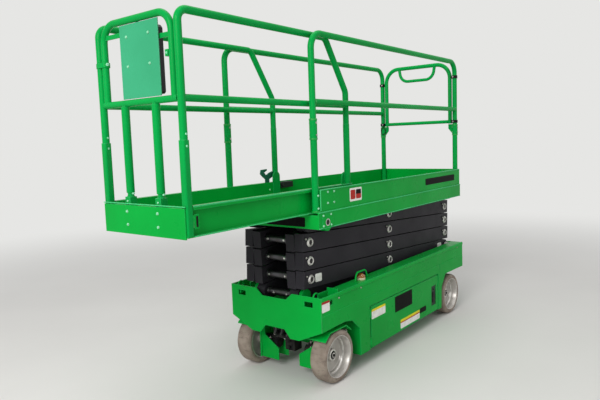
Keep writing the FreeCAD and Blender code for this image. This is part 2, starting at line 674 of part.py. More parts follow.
def rollers(z, radius):
    solids = []
    for s in (-1, 1):
        roller = pin_y(REAR_PIN_X, z, ROLLER_IN_Y, ROLLER_OUT_Y, radius)
        hole = pin_y(REAR_PIN_X, z, ROLLER_IN_Y - 1.0, ROLLER_OUT_Y + 1.0, PIN_R)
        ring = roller.cut(hole)
        solids.append(ring if s > 0 else mirror(ring))
    return solids


def lift_cylinder(level):
    """Barrel pinned to an odd inner arm; the rod's eye reaches the next inner arm."""
    tilt = math.radians(STOWED)
    foot_z0 = FIRST_PIN_Z + (level - 1) * LEVEL_RISE
    foot = V(FRONT_PIN_X - CYLINDER_FOOT * math.cos(tilt), 0,
             foot_z0 + CYLINDER_FOOT * math.sin(tilt))
    head = V(FRONT_PIN_X - CYLINDER_HEAD * math.cos(tilt), 0,
             foot_z0 + LEVEL_RISE + CYLINDER_HEAD * math.sin(tilt))
    run = head - foot
    way = V(run).normalize()
    mouth = run.Length - 110.0
    eye_half = 34.0
    barrel = Part.makeCylinder(BARREL_R, mouth - 20.0, foot + way * 20.0, way)
    gland = Part.makeCylinder(BARREL_R + 5.0, 36.0, foot + way * (mouth - 36.0), way)
    eye = pin_y(foot.x, foot.z, -eye_half, eye_half, 40.0)
    hole = pin_y(foot.x, foot.z, -2 * BARREL_R, 2 * BARREL_R, ROD_R + FIT)
    bore = Part.makeCylinder(ROD_R + FIT, mouth, foot + way * 80.0, way)
    save("lift_barrel_%d" % level, join(barrel, gland, eye).cut([hole, bore]))
    shaft = Part.makeCylinder(ROD_R, run.Length - 100.0, foot + way * 100.0, way)
    head_eye = pin_y(head.x, head.z, -30.0, 30.0, 36.0)
    pin_half = INNER_ARM_Y - 1.0
    pin = pin_y(head.x, head.z, -pin_half, pin_half, 18.0)
    save("lift_rod_%d" % level, join(shaft, head_eye, pin))


def scissor():
    for level in range(1, LEVELS + 1):
        save("inner_arm_%d" % level, inner_arm(level))
        save("outer_arm_%d" % level, outer_arm(level))
    save("chassis_rollers", *rollers(FIRST_PIN_Z, CHASSIS_ROLLER_R))
    save("deck_rollers", *rollers(LAST_PIN_Z, DECK_ROLLER_R))
    for level in (1, 3):
        lift_cylinder(level)


# Platform

def platform_frame():
    """Side channels, end plates, cross beams, roller tracks and the front pin housings."""
    z = LAST_PIN_Z
    side = join(
        box(DECK_REAR_X, DECK_FRONT_X, BEAM_IN_Y, BEAM_OUT_Y, BEAM_LOW_Z, BEAM_TOP_Z),
        box(DECK_REAR_X, DECK_FRONT_X, BEAM_OUT_Y - BEAM_FLANGE, BEAM_OUT_Y,
            BEAM_LOW_Z, BEAM_LOW_Z + PLATE),
        box(DECK_REAR_X, DECK_FRONT_X, BEAM_OUT_Y - BEAM_FLANGE, BEAM_OUT_Y,
            BEAM_TOP_Z - PLATE, BEAM_TOP_Z))
    housing = pin_y(FRONT_PIN_X, z, ROLLER_IN_Y - 3.0, BEAM_OUT_Y, 38.0)
    flange = box(FRONT_PIN_X - 58.0, FRONT_PIN_X + 58.0, BEAM_OUT_Y, BEAM_OUT_Y + 3.0,
                 BEAM_LOW_Z + 4.0, BEAM_TOP_Z - 12.0)
    track_rear = DECK_REAR_X
    track_front = -480.0
    roller_low = z - DECK_ROLLER_R - SEAT
    roller_top = z + DECK_ROLLER_R + SEAT
    track = join(
        box(track_rear, track_front, ROLLER_IN_Y, INNER_WALL_Y, roller_low - PLATE, roller_low),
        box(track_rear, track_front, ROLLER_IN_Y, INNER_WALL_Y, roller_top, roller_top + PLATE),
        box(track_rear, track_front, INNER_WALL_Y, INNER_WALL_Y + PLATE,
            roller_low - PLATE, FLOOR_LOW_Z))
    pieces = []
    for piece in (side, housing, flange, track):
        pieces += [piece, mirror(piece)]
    front = box(DECK_FRONT_X - PLATE, DECK_FRONT_X, -BEAM_IN_Y, BEAM_IN_Y,
                BEAM_LOW_Z, FLOOR_LOW_Z)
    rear = box(DECK_REAR_X, DECK_REAR_X + PLATE, -BEAM_IN_Y, BEAM_IN_Y, FLOOR_LOW_Z, BEAM_TOP_Z)
    corner = box(DECK_REAR_X, DECK_REAR_X + PLATE, INNER_WALL_Y + PLATE, BEAM_IN_Y,
                 BEAM_LOW_Z, FLOOR_LOW_Z)
    pieces += [front, rear, corner, mirror(corner)]
    for x in (MID_PIN_X - 200.0, MID_PIN_X + 200.0):
        pieces.append(box(x - 25.0, x + 25.0, -BEAM_IN_Y, BEAM_IN_Y,
                          FLOOR_LOW_Z - 44.0, FLOOR_LOW_Z))
    bore = pin_y(FRONT_PIN_X, z, 0.0, BEAM_OUT_Y - 18.0, PIN_R + FIT)
    return join(*pieces).cut([bore, mirror(bore)])


def platform_deck():
    """Floor sheet with the wear pads that the extension slides on."""
    sheet = box(DECK_REAR_X + PLATE, DECK_FRONT_X, -BEAM_IN_Y, BEAM_IN_Y, FLOOR_LOW_Z, DECK_TOP_Z)
    pads = []
    for s in (-1, 1):
        for x in (-650.0, 200.0, 600.0):
            ends = sorted((s * EXT_WEB_Y, s * EXT_OUT_Y))
            pads.append(box(x, x + 50.0, ends[0], ends[1], DECK_TOP_Z, EXT_LOW_Z - SEAT))
    return join(sheet, *pads)


def toe_panels():
    panel = box(DECK_REAR_X + PLATE, PANEL_FRONT_X, PANEL_OUT_Y - PANEL_T, PANEL_OUT_Y,
                BEAM_TOP_Z, PANEL_TOP_Z)
    return [panel, mirror(panel)]


def rear_toe_board():
    return box(DECK_REAR_X, DECK_REAR_X + PLATE, -PANEL_OUT_Y, PANEL_OUT_Y, BEAM_TOP_Z, PANEL_TOP_Z)


def main_rail(side):
    """Side rail: two posts, a bent top rail folded down into them and a mid rail."""
    y = RAIL_Y
    posts = []
    for x, sleeve_h in ((RAIL_FRONT_X, 115.0), (RAIL_REAR_X, 82.0)):
        posts.append(rod((x, y, BEAM_TOP_Z), (x, y, SLEEVE_Z + 30.0), POST_R))
        posts.append(rod((x, y, SLEEVE_Z - 4.0), (x, y, SLEEVE_Z + sleeve_h), SLEEVE_R))
    hoop = bent_tube([(RAIL_FRONT_X, y, SLEEVE_Z), (RAIL_FRONT_X, y, RAIL_TOP_Z - RAIL_R),
                      (RAIL_REAR_X, y, RAIL_TOP_Z - RAIL_R), (RAIL_REAR_X, y, SLEEVE_Z)],
                     RAIL_BEND, RAIL_R)
    mid = rod((RAIL_REAR_X, y, MID_RAIL_Z), (RAIL_FRONT_X, y, MID_RAIL_Z), MID_RAIL_R)
    gusset_top = GATE_LOW_Z - GATE_R - CLEAR
    gusset = outline_yz([(y, SLEEVE_Z - 24.0), (y, gusset_top), (GATE_Y - 16.0, gusset_top),
                         (GATE_Y - 16.0, gusset_top - 40.0)], RAIL_REAR_X - 4.0, RAIL_REAR_X + 4.0)
    pieces = posts + [hoop, mid, gusset]
    if side < 0:
        pieces.append(rod((RAIL_REAR_X, GATE_Y, gusset_top - 10.0),
                          (RAIL_REAR_X, GATE_Y, gusset_top + 60.0), 7.0))
    shape = join(*pieces)
    return shape if side > 0 else mirror(shape)


def entry_gate():
    """Half-height gate: a bent hoop, a low bar and a pull loop, hinged at the right."""
    x = RAIL_REAR_X
    low = GATE_LOW_Z - GATE_R
    top = GATE_TOP_Z - GATE_R
    hoop = bent_tube([(x, -GATE_Y, low), (x, -GATE_Y, top), (x, GATE_Y, top), (x, GATE_Y, low)],
                     GATE_BEND, GATE_R)
    bar = pin_y(x, GATE_LOW_Z, -GATE_Y, GATE_Y, 15.5)
    grip = top - 125.0
    loop = bent_tube([(x, -188.0, top), (x, -168.0, grip), (x, 162.0, grip), (x, 182.0, top)],
                     85.0, 14.0)
    hole = rod((x, -GATE_Y, low - 1.0), (x, -GATE_Y, low + 70.0), 7.0 + FIT)
    return join(hoop, bar, loop).cut(hole)


def platform():
    save("platform_frame", platform_frame())
    save("platform_deck", platform_deck())
    save("toe_panels", *toe_panels())
    save("rear_toe_board", rear_toe_board())
    save("main_guard_rails", main_rail(1), main_rail(-1))
    save("entry_gate", entry_gate())


# Roll-out deck extension

def extension_deck():
    """Floor sheet, the two side channels and the front toe board."""
    board_in = EXT_FRONT_X - PLATE
    board_half = EXT_OUT_Y - 8.0
    channel_end = EXT_POST_X - EXT_POST_HALF - 2.0
    floor = box(EXT_REAR_X, board_in, -EXT_WEB_Y, EXT_WEB_Y, EXT_LOW_Z, EXT_FLOOR_Z)
    nose = box(channel_end, board_in, -EXT_OUT_Y, EXT_OUT_Y, EXT_LOW_Z, EXT_FLOOR_Z)
    board = box(board_in, EXT_FRONT_X, -board_half, board_half, EXT_LOW_Z - 7.0, EXT_TOP_Z - 9.0)
    pieces = [floor, nose, board]
    channel = join(
        box(EXT_REAR_X, channel_end, EXT_WEB_Y, EXT_WEB_Y + PLATE, EXT_LOW_Z, EXT_TOP_Z),
        box(EXT_REAR_X, channel_end, EXT_WEB_Y, EXT_OUT_Y, EXT_LOW_Z, EXT_FLOOR_Z),
        box(EXT_REAR_X, channel_end, EXT_WEB_Y, EXT_OUT_Y, EXT_TOP_Z - PLATE, EXT_TOP_Z))
    slot = box(EXT_POST_X - 51.0, EXT_POST_X - 28.0, EXT_WEB_Y - 1.0, EXT_WEB_Y + PLATE + 1.0,
               EXT_FLOOR_Z + 37.0, EXT_TOP_Z - 51.0)
    channel = channel.cut(slot)
    return join(*pieces, channel, mirror(channel))


def extension_rail(side):
    """Side rail of the extension, with its sloped rear corner."""
    y = EXT_RAIL_Y
    top = EXT_RAIL_TOP_Z - RAIL_R
    front = EXT_POST_X
    rear = EXT_REAR_POST_X
    half = EXT_POST_HALF
    front_post = box(front - half, front + half, y - half, y + half, EXT_FLOOR_Z, SLEEVE_Z + 10.0)
    upright = [e for e in front_post.Edges if abs(e.tangentAt(e.FirstParameter).z) > 0.9]
    front_post = front_post.makeFillet(EXT_POST_CORNER, upright)
    rear_post = rod((rear, y, EXT_TOP_Z), (rear, y, SLEEVE_Z + 90.0), POST_R)
    foot = box(rear - 30.0, rear + 50.0, EXT_WEB_Y - PLATE, EXT_WEB_Y, EXT_FLOOR_Z, EXT_TOP_Z + 40.0)
    foot = join(foot, pin_y(rear + 10.0, EXT_TOP_Z + 40.0, EXT_WEB_Y - PLATE, EXT_WEB_Y, 40.0))
    hoop = bent_tube([(front, y, SLEEVE_Z), (front, y, top), (SLOPE_TOP_X, y, top),
                      (rear, y, SLOPE_LOW_Z), (rear, y, SLEEVE_Z)], 60.0, RAIL_R)
    mid = rod((rear, y, EXT_MID_Z), (front, y, EXT_MID_Z), MID_RAIL_R)
    shape = join(front_post, rear_post, foot, hoop, mid)
    return shape if side > 0 else mirror(shape)


def extension_front_rail():
    """Bent hoop on a cross bar, two mid posts in sockets, and the control shelf bars."""
    x = EXT_POST_X
    top = EXT_RAIL_TOP_Z - RAIL_R
    end_y = EXT_RAIL_Y - EXT_POST_HALF - 1.0
    hoop = bent_tube([(x, -FRONT_HOOP_Y, EXT_MID_Z), (x, -FRONT_HOOP_Y, top),
                      (x, FRONT_HOOP_Y, top), (x, FRONT_HOOP_Y, EXT_MID_Z)], RAIL_BEND, MID_RAIL_R)
    bar = pin_y(x, EXT_MID_Z, -end_y, end_y, MID_RAIL_R - 1.0)
    pieces = [hoop, bar]
    for s in (-1, 1):
        y = s * MID_POST_Y
        pieces.append(rod((x, y, EXT_TOP_Z), (x, y, EXT_MID_Z), MID_RAIL_R - 2.0))
        pieces.append(box(x - 22.0, x + 22.0, y - 22.0, y + 22.0,
                          EXT_FLOOR_Z, EXT_TOP_Z + 35.0))
    tab_z = EXT_RAIL_TOP_Z - 88.0
    pieces.append(box(x - 6.0, x + 2.0, -FRONT_HOOP_Y, PLATE_RIGHT_Y + 20.0, tab_z - 12.0, tab_z + 12.0))
    bracket_z = EXT_RAIL_TOP_Z - 133.0
    pieces.append(box(x - 14.0, x - 6.0, PLATE_LEFT_Y - 40.0, FRONT_HOOP_Y, bracket_z - 12.0,
                      bracket_z + 12.0))
    return join(*pieces)


def extension():
    save("extension_deck", extension_deck())
    save("extension_guard_rails", extension_rail(1), extension_rail(-1))
    save("extension_front_rail", extension_front_rail())
    face = EXT_POST_X + 2.0
    save("control_plate", box(face, face + 5.0, PLATE_RIGHT_Y, PLATE_LEFT_Y,
                              EXT_MID_Z + MID_RAIL_R + 2.0, EXT_RAIL_TOP_Z - 2 * MID_RAIL_R - 6.0))
    back = EXT_POST_X - 14.0
    save("control_box", box(back - BOX_DEPTH, back, PLATE_RIGHT_Y + 16.0, PLATE_LEFT_Y - 18.0,
                            EXT_MID_Z + 32.0, EXT_RAIL_TOP_Z - 66.0))


os.makedirs("parts", exist_ok=True)
wheels()
steering()
chassis()
trays()
scissor()
platform()
extension()
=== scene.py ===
from math import atan2, cos, pi, radians, sin

import bmesh
import bpy
from mathutils import Matrix, Vector


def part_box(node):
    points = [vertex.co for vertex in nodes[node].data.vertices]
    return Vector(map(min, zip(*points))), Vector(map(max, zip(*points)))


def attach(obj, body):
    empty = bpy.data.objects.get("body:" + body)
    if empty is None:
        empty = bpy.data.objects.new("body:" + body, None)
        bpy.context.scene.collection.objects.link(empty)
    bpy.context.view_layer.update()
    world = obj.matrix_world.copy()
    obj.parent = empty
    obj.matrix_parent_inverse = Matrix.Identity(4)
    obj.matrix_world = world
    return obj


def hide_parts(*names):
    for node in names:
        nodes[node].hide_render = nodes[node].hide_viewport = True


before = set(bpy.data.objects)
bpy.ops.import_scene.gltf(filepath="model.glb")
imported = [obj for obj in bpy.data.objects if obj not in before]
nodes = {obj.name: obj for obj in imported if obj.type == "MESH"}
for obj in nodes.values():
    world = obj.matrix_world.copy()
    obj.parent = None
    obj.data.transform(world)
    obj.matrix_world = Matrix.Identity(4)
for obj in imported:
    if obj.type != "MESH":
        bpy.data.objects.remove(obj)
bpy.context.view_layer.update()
bpy.context.scene.view_settings.view_transform = "Standard"


# Studio
# A pale matt floor, a soft key from the front left, a broad top light and a pale world.
# The camera stands where the photograph was taken, a little above the chassis and off the nose.

def linear(code):
    """sRGB hex to a linear colour."""
    parts = [int(code[i:i + 2], 16) / 255 for i in (1, 3, 5)]
    return [p / 12.92 if p <= 0.04045 else ((p + 0.055) / 1.055) ** 2.4 for p in parts] + [1.0]


def add(tree, kind, inputs=None, out=0, **settings):
    """Adds a shader node and returns its output. Inputs are values, #hex colours or the sockets that feed
    it. Unless set otherwise, maths multiplies, a mix is of colours and a range is smoothed."""
    usual = {"Math": {"operation": "MULTIPLY"}, "Mix": {"data_type": "RGBA"},
             "MapRange": {"interpolation_type": "SMOOTHSTEP"}}
    made = tree.nodes.new("ShaderNode" + kind)
    for key, value in {**usual.get(kind, {}), **settings}.items():
        setattr(made, key, value)
    for key, value in (inputs or {}).items():
        if isinstance(value, bpy.types.NodeSocket):
            tree.links.new(value, made.inputs[key])
        else:
            made.inputs[key].default_value = linear(value) if isinstance(value, str) else value
    return made.outputs["Result" if kind == "Mix" else out] if made.outputs else None


def blank_material(name):
    material = bpy.data.materials.new(name)
    material.use_nodes = True
    material.node_tree.nodes.clear()
    return material, material.node_tree


def seen(tree):
    """1 for a ray that shows the backdrop to the eye: straight, mirrored or through glass; 0 for light."""
    straight = add(tree, "LightPath", out="Is Camera Ray")
    mirrored = add(tree, "LightPath", out="Is Glossy Ray")
    through = add(tree, "LightPath", out="Is Transmission Ray")
    either = add(tree, "Math", {0: straight, 1: mirrored}, operation="MAXIMUM")
    return add(tree, "Math", {0: either, 1: through}, operation="MAXIMUM")


BACKDROP = "#E6E6E4"


def trowelled_floor():
    """Pale sealed concrete: matt, with faint cloudy patches. Far off it fades into the pale backdrop."""
    material, tree = blank_material("trowelled_floor")
    place = add(tree, "TexCoord", out="Object")
    cloud = add(tree, "TexNoise", {"Vector": place, "Scale": 0.8, "Detail": 5.0})
    tone = add(tree, "Mix", {"Factor": cloud, "A": "#D9D7D3", "B": "#E4E2DE"})
    near = add(tree, "BsdfPrincipled", {"Base Color": tone, "Roughness": 0.75, "Specular IOR Level": 0.2})
    reach = add(tree, "VectorMath", {0: place}, "Value", operation="LENGTH")
    far = add(tree, "MapRange", {"Value": reach, "From Min": 2.6, "From Max": 9.0})
    haze = add(tree, "Emission", {"Color": BACKDROP, "Strength": 1.0})
    faded = add(tree, "MixShader", {0: add(tree, "Math", {0: far, 1: seen(tree)}), 1: near, 2: haze})
    add(tree, "OutputMaterial", {"Surface": faded})
    return material


HALF_FLOOR = 40
floor_mesh = bpy.data.meshes.new("floor")
floor_mesh.from_pydata([(x * HALF_FLOOR, y * HALF_FLOOR, 0) for x, y in ((-1, -1), (1, -1), (1, 1), (-1, 1))],
                       [], [(0, 1, 2, 3)])
floor = bpy.data.objects.new("floor", floor_mesh)
bpy.context.scene.collection.objects.link(floor)
floor.data.materials.append(trowelled_floor())

world = bpy.data.worlds.new("pale_studio")
bpy.context.scene.world = world
world.use_nodes = True
world.node_tree.nodes.clear()
soft = add(world.node_tree, "Background", {"Color": "#F4F6F8", "Strength": 0.42})
pale = add(world.node_tree, "Background", {"Color": BACKDROP, "Strength": 1.0})
both_skies = add(world.node_tree, "MixShader", {0: seen(world.node_tree), 1: soft, 2: pale})
add(world.node_tree, "OutputWorld", {"Surface": both_skies})

LIGHTS = [
    # name, place, aimed at, size, watts
    ("key", (7.8, 1.6, 5.0), (0.0, 0.0, 1.0), 4.0, 520.0),
    ("side", (-2.5, 7.5, 3.0), (-0.3, 0.0, 1.0), 4.0, 55.0),
    ("top", (0.0, 0.0, 7.0), (0.0, 0.0, 0.0), 6.0, 170.0),
]
for name, place, target, size, watts in LIGHTS:
    lamp = bpy.data.lights.new(name, "AREA")
    lamp.size = size
    lamp.energy = watts
    holder = bpy.data.objects.new(name, lamp)
    holder.location = place
    holder.rotation_euler = (Vector(target) - Vector(place)).to_track_quat("-Z", "Y").to_euler()
    bpy.context.scene.collection.objects.link(holder)

EYE = Vector((3.5466, 2.532, 1.6481))
YAW, PITCH, ROLL = 3.8079, -0.1036, -0.0347
SENSOR_MM, FOCAL_PIXELS, PICTURE_PIXELS = 36, 571.6, 600
forward = Vector((cos(YAW) * cos(PITCH), sin(YAW) * cos(PITCH), sin(PITCH)))
level = forward.cross(Vector((0, 0, 1))).normalized()
upright = level.cross(forward)
right = level * cos(ROLL) + upright * sin(ROLL)
up = upright * cos(ROLL) - level * sin(ROLL)
camera = bpy.data.objects.new("camera", bpy.data.cameras.new("camera"))
camera.data.lens = SENSOR_MM * FOCAL_PIXELS / PICTURE_PIXELS
camera.matrix_world = Matrix([(right[i], up[i], -forward[i], EYE[i]) for i in range(3)] + [(0, 0, 0, 1)])
bpy.context.scene.collection.objects.link(camera)
bpy.context.scene.camera = camera


# Wheels
# Solid non-marking rubber moulded onto a deep-dished steel rim. The rubber is pale grey-brown,
# scuffed on the tread; the rim is silver enamel with a step, a flat disc and a recessed hub nut.

def grain(mm):
    """Noise scale that gives blotches about mm millimetres across."""
    return 1000.0 / mm


def finish(tree, colour, roughness, normal, **shader):
    inputs = {"Base Color": colour, "Roughness": roughness}
    if normal:
        inputs["Normal"] = normal
    inputs.update({key.replace("_", " "): value for key, value in shader.items()})
    add(tree, "OutputMaterial", {"Surface": add(tree, "BsdfPrincipled", inputs)})


def moulded_rubber():
    """Non-marking grey rubber: matt, dusty, with darker scuffs rubbed along the tread."""
    material, tree = blank_material("moulded_rubber")
    place = add(tree, "TexCoord", out="Object")
    drawn = add(tree, "Mapping", {"Vector": place, "Scale": (1, 0.25, 1)})
    rubs = add(tree, "TexNoise", {"Vector": drawn, "Scale": grain(18), "Detail": 6, "Roughness": 0.65})
    scuff = add(tree, "MapRange", {"Value": rubs, "From Min": 0.52, "From Max": 0.66})
    clouds = add(tree, "TexNoise", {"Vector": place, "Scale": grain(90), "Detail": 4})
    dust = add(tree, "MapRange", {"Value": clouds, "From Min": 0.35, "From Max": 0.7})
    worn = add(tree, "Mix", {"Factor": dust, "A": "#7E7065", "B": "#978A7E"})
    colour = add(tree, "Mix", {"Factor": add(tree, "Math", {0: scuff, 1: 0.55}), "A": worn, "B": "#62564D"})
    pores = add(tree, "TexNoise", {"Vector": place, "Scale": grain(3), "Detail": 4})
    finish(tree, colour, 0.85, add(tree, "Bump", {"Height": pores, "Strength": 0.5, "Distance": 0.0006}))
    return material


def sprayed_enamel(name, main, shade, edge_highlight, dirt="#5E5A52", chips="#3A3B38", gloss=0.36, dusty=0.25, worn=0.7,
                   metal=0.0):
    """Two-pack enamel sprayed on steel: soft orange peel, rounded edges with a painted highlight and a few chips, dust
    on ledges.
    """
    material, tree = blank_material(name)
    place = add(tree, "TexCoord", out="Object")
    normal = add(tree, "NewGeometry", out="Normal")
    rounded = add(tree, "Bevel", {"Radius": 0.0036}, samples=4)
    turn = add(tree, "VectorMath", {0: rounded, 1: normal}, "Value", operation="DOT_PRODUCT")
    edge = add(tree, "MapRange", {"Value": turn, "From Min": 0.985, "From Max": 0.86})
    flakes = add(tree, "TexNoise", {"Vector": place, "Scale": grain(22), "Detail": 6, "Roughness": 0.7})
    loose = add(tree, "MapRange", {"Value": flakes, "From Min": 0.56, "From Max": 0.62})
    chip = add(tree, "Math", {0: edge, 1: loose})
    position = add(tree, "NewGeometry", out="Position")
    height = add(tree, "SeparateXYZ", {"Vector": position}, "Z")
    facing = add(tree, "SeparateXYZ", {"Vector": normal}, "Z")
    ledge = add(tree, "MapRange", {"Value": facing, "From Min": 0.75, "From Max": 1.0})
    low = add(tree, "MapRange", {"Value": height, "From Min": 0.55, "From Max": 0.08})
    settle = add(tree, "Math", {0: add(tree, "Math", {0: ledge, 1: 0.7}), 1: add(tree, "Math", {0: low, 1: 0.8})},
                 operation="MAXIMUM")
    drifts = add(tree, "TexNoise", {"Vector": place, "Scale": grain(60), "Detail": 6, "Roughness": 0.62})
    patchy = add(tree, "MapRange", {"Value": drifts, "From Min": 0.38, "From Max": 0.68})
    dust = add(tree, "Math", {0: add(tree, "Math", {0: settle, 1: patchy}), 1: dusty})
    passes = add(tree, "TexNoise", {"Vector": place, "Scale": grain(420), "Detail": 3})
    coat = add(tree, "MapRange", {"Value": passes, "From Min": 0.3, "From Max": 0.7})
    cloud = add(tree, "Mix", {"Factor": coat, "A": main, "B": shade})
    # Painted highlight: rounded edges are mixed towards the pale edge_highlight colour, as if they caught the light.
    rubbed_and_lit = add(tree, "Mix", {"Factor": add(tree, "Math", {0: edge, 1: 0.75}), "A": cloud, "B": edge_highlight})
    dusted = add(tree, "Mix", {"Factor": dust, "A": rubbed_and_lit, "B": dirt})
    colour = add(tree, "Mix", {"Factor": add(tree, "Math", {0: chip, 1: worn}), "A": dusted, "B": chips})
    sheen = add(tree, "TexNoise", {"Vector": place, "Scale": grain(130), "Detail": 5})
    rough = add(tree, "MapRange", {"Value": sheen, "From Min": 0.3, "From Max": 0.7, "To Min": gloss - 0.06,
                                   "To Max": gloss + 0.1}, interpolation_type="LINEAR")
    dimples = add(tree, "TexNoise", {"Vector": place, "Scale": grain(5), "Detail": 2})
    peel = add(tree, "Bump", {"Height": dimples, "Strength": 0.22, "Distance": 0.0005, "Normal": rounded})
    finish(tree, colour, rough, peel, Specular_IOR_Level=0.07, Metallic=metal)
    return material


def machined_steel(name, tone="#A9A8A4", rough=0.32, metal=0.9):
    """Turned or ground steel: bright, with fine tool marks and a thin film of grease."""
    material, tree = blank_material(name)
    place = add(tree, "TexCoord", out="Object")
    drawn = add(tree, "Mapping", {"Vector": place, "Scale": (0.2, 1, 1)})
    marks = add(tree, "TexNoise", {"Vector": drawn, "Scale": grain(2), "Detail": 4})
    smears = add(tree, "TexNoise", {"Vector": place, "Scale": grain(45), "Detail": 5})
    grease = add(tree, "MapRange", {"Value": smears, "From Min": 0.4, "From Max": 0.7})
    colour = add(tree, "Mix", {"Factor": add(tree, "Math", {0: grease, 1: 0.5}), "A": tone, "B": "#4B4742"})
    rounded = add(tree, "Bevel", {"Radius": 0.001}, samples=4)
    bump = add(tree, "Bump", {"Height": marks, "Strength": 0.2, "Distance": 0.0002, "Normal": rounded})
    spread = add(tree, "MapRange", {"Value": grease, "To Min": rough, "To Max": rough + 0.2},
                 interpolation_type="LINEAR")
    finish(tree, colour, spread, bump, Metallic=metal)
    return material


GREEN = sprayed_enamel("sprayed_green_enamel", "#00A63C", "#009A36", "#3CCB78", gloss=0.3, dusty=0.05)
SILVER = sprayed_enamel("sprayed_silver_enamel", "#CFCBC6", "#BAB6B0", "#F0EEEA", gloss=0.34, dusty=0.3, worn=0.5,
                        metal=0.45)
SCREWS = machined_steel("zinc_plated_screws", "#B7B6AE", 0.36)
# Dark oiled steel, also used for dark discs and rings of painted shade.
DARK_STEEL = machined_steel("oiled_dark_steel_and_painted_shade", "#2B2A2A", 0.45)
BRIGHT_STEEL = machined_steel("rubbed_rim_steel", "#DEDCD7", 0.34)
RUBBER = moulded_rubber()


def join(*shapes):
    """Several shapes as one. A shape is its points and its faces, each face a list of point numbers."""
    points, faces = [], []
    for more_points, more_faces in shapes:
        faces += [[len(points) + i for i in face] for face in more_faces]
        points += more_points
    return points, faces


def both(*shapes):
    """The shapes, drawn for the left side, with their mirror images on the right."""
    points, faces = join(*shapes)
    return join((points, faces), ([(x, -y, z) for x, y, z in points], faces))


def swept(profile, centre, across, steps, closed):
    """Turns (radius, along) points about the axis named by across; centre is its place on the other two."""
    points, faces, count = [], [], len(profile)
    for i in range(steps):
        angle = 2 * pi * i / steps
        for radius, along in profile:
            point = [centre[0] + radius * cos(angle), centre[1] + radius * sin(angle)]
            point.insert("XYZ".index(across), along)
            points.append(point)
        here, ahead = i * count, (i + 1) % steps * count
        for j in range(count if closed else count - 1):
            k = (j + 1) % count
            faces.append((here + j, ahead + j, ahead + k, here + k))
    if not closed:
        faces += [range(0, steps * count, count), range(count - 1, steps * count, count)]
    return points, faces


def turned(profile, centre, across, steps=48):
    """Solid of revolution; profile is an open line whose two ends are closed by flat discs."""
    return swept(profile, centre, across, steps, False)


def hollow(profile, centre, across, steps=48):
    """Ring whose section is the closed profile."""
    return swept(profile, centre, across, steps, True)


def slab(outline, start, end, across):
    """Flat plate: outline in the two other coordinates, from start to end along across."""
    points, count = [], len(outline)
    for along in (start, end):
        for place in outline:
            points.append(list(place))
            points[-1].insert("XYZ".index(across), along)
    walls = [(i, (i + 1) % count, count + (i + 1) % count, count + i) for i in range(count)]
    return points, [range(count), range(count, 2 * count)] + walls


def block(low, high):
    return slab([(low[0], low[1]), (high[0], low[1]), (high[0], high[1]), (low[0], high[1])], low[2], high[2], "Z")


def bolt(x, y, z, across, size=0.012):
    """Hex head on a washer, standing out of the face at x, y, z; across is the way it points, such as +Y."""
    centre = [x, y, z]
    face = centre.pop("XYZ".index(across[1]))
    out = size if across[0] == "+" else -size
    washer = [(1.05 * size, face - 0.001 * out / size), (1.05 * size, face + 0.2 * out),
              (0.9 * size, face + 0.22 * out)]
    head = [(0.9 * size, face + 0.2 * out), (0.9 * size, face + 0.72 * out), (0.72 * size, face + 0.85 * out)]
    return join(turned(washer, centre, across[1], 16), turned(head, centre, across[1], 6))


def piece(name, body, slot, material, *shapes, side=1, bevel=0.0, smooth=35.0, replaces=()):
    """Makes the shapes one object of the body, with softened edges; side -1 mirrors them to the right."""
    points, faces = join(*shapes)
    bm = bmesh.new()
    corners = [bm.verts.new((x, side * y, z)) for x, y, z in points]
    for face in faces:
        bm.faces.new([corners[i] for i in face])
    bmesh.ops.recalc_face_normals(bm, faces=bm.faces)
    mesh = bpy.data.meshes.new(name)
    bm.to_mesh(mesh)
    bm.free()
    made = bpy.data.objects.new(name, mesh)
    bpy.context.scene.collection.objects.link(made)
    mesh.materials.append(material)
    if bevel:
        soften = made.modifiers.new("softened_edges", "BEVEL")
        soften.width = bevel
        soften.segments = 2
        soften.limit_method = "ANGLE"
        soften.angle_limit = radians(40)
    mesh.shade_smooth()
    mesh.set_sharp_from_angle(angle=radians(smooth))
    if replaces:
        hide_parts(*replaces)
    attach(made, body)


TYRE_SECTION = [
    (0.1434, 0.2775), (0.1470, 0.2745), (0.1585, 0.2735), (0.1660, 0.2755), (0.1735, 0.2805), (0.1785, 0.2870),
    (0.1810, 0.2950), (0.1814, 0.3000), (0.1814, 0.3330), (0.1802, 0.3342), (0.1802, 0.3368), (0.1814, 0.3380),
    (0.1814, 0.3740), (0.1805, 0.3800), (0.1780, 0.3860), (0.1735, 0.3925), (0.1660, 0.3972), (0.1590, 0.3995),
    (0.1500, 0.3990), (0.1470, 0.3985), (0.1434, 0.3960),
]
RIM_SECTION = [
    (0.0310, 0.2835), (0.0415, 0.2835), (0.0415, 0.3080), (0.1200, 0.3080), (0.1290, 0.3000), (0.1335, 0.2810),
    (0.1350, 0.2775), (0.1425, 0.2770), (0.1432, 0.2800), (0.1432, 0.3930), (0.1450, 0.3962), (0.1425, 0.3985),
    (0.1390, 0.3970), (0.1362, 0.3925), (0.1310, 0.3520), (0.1300, 0.3475), (0.1240, 0.3430), (0.1215, 0.3390),
    (0.1195, 0.3300), (0.1160, 0.3225), (0.1100, 0.3200), (0.0520, 0.3200), (0.0455, 0.3215), (0.0425, 0.3250),
    (0.0415, 0.3400), (0.0395, 0.3450), (0.0370, 0.3462), (0.0300, 0.3462), (0.0285, 0.3445), (0.0285, 0.3330),
    (0.0240, 0.3300),
]
HANDS = (("left", 1), ("right", -1))
FRONT_AXLE_X, REAR_AXLE_X, AXLE_Z = 0.458, -1.394, 0.1815
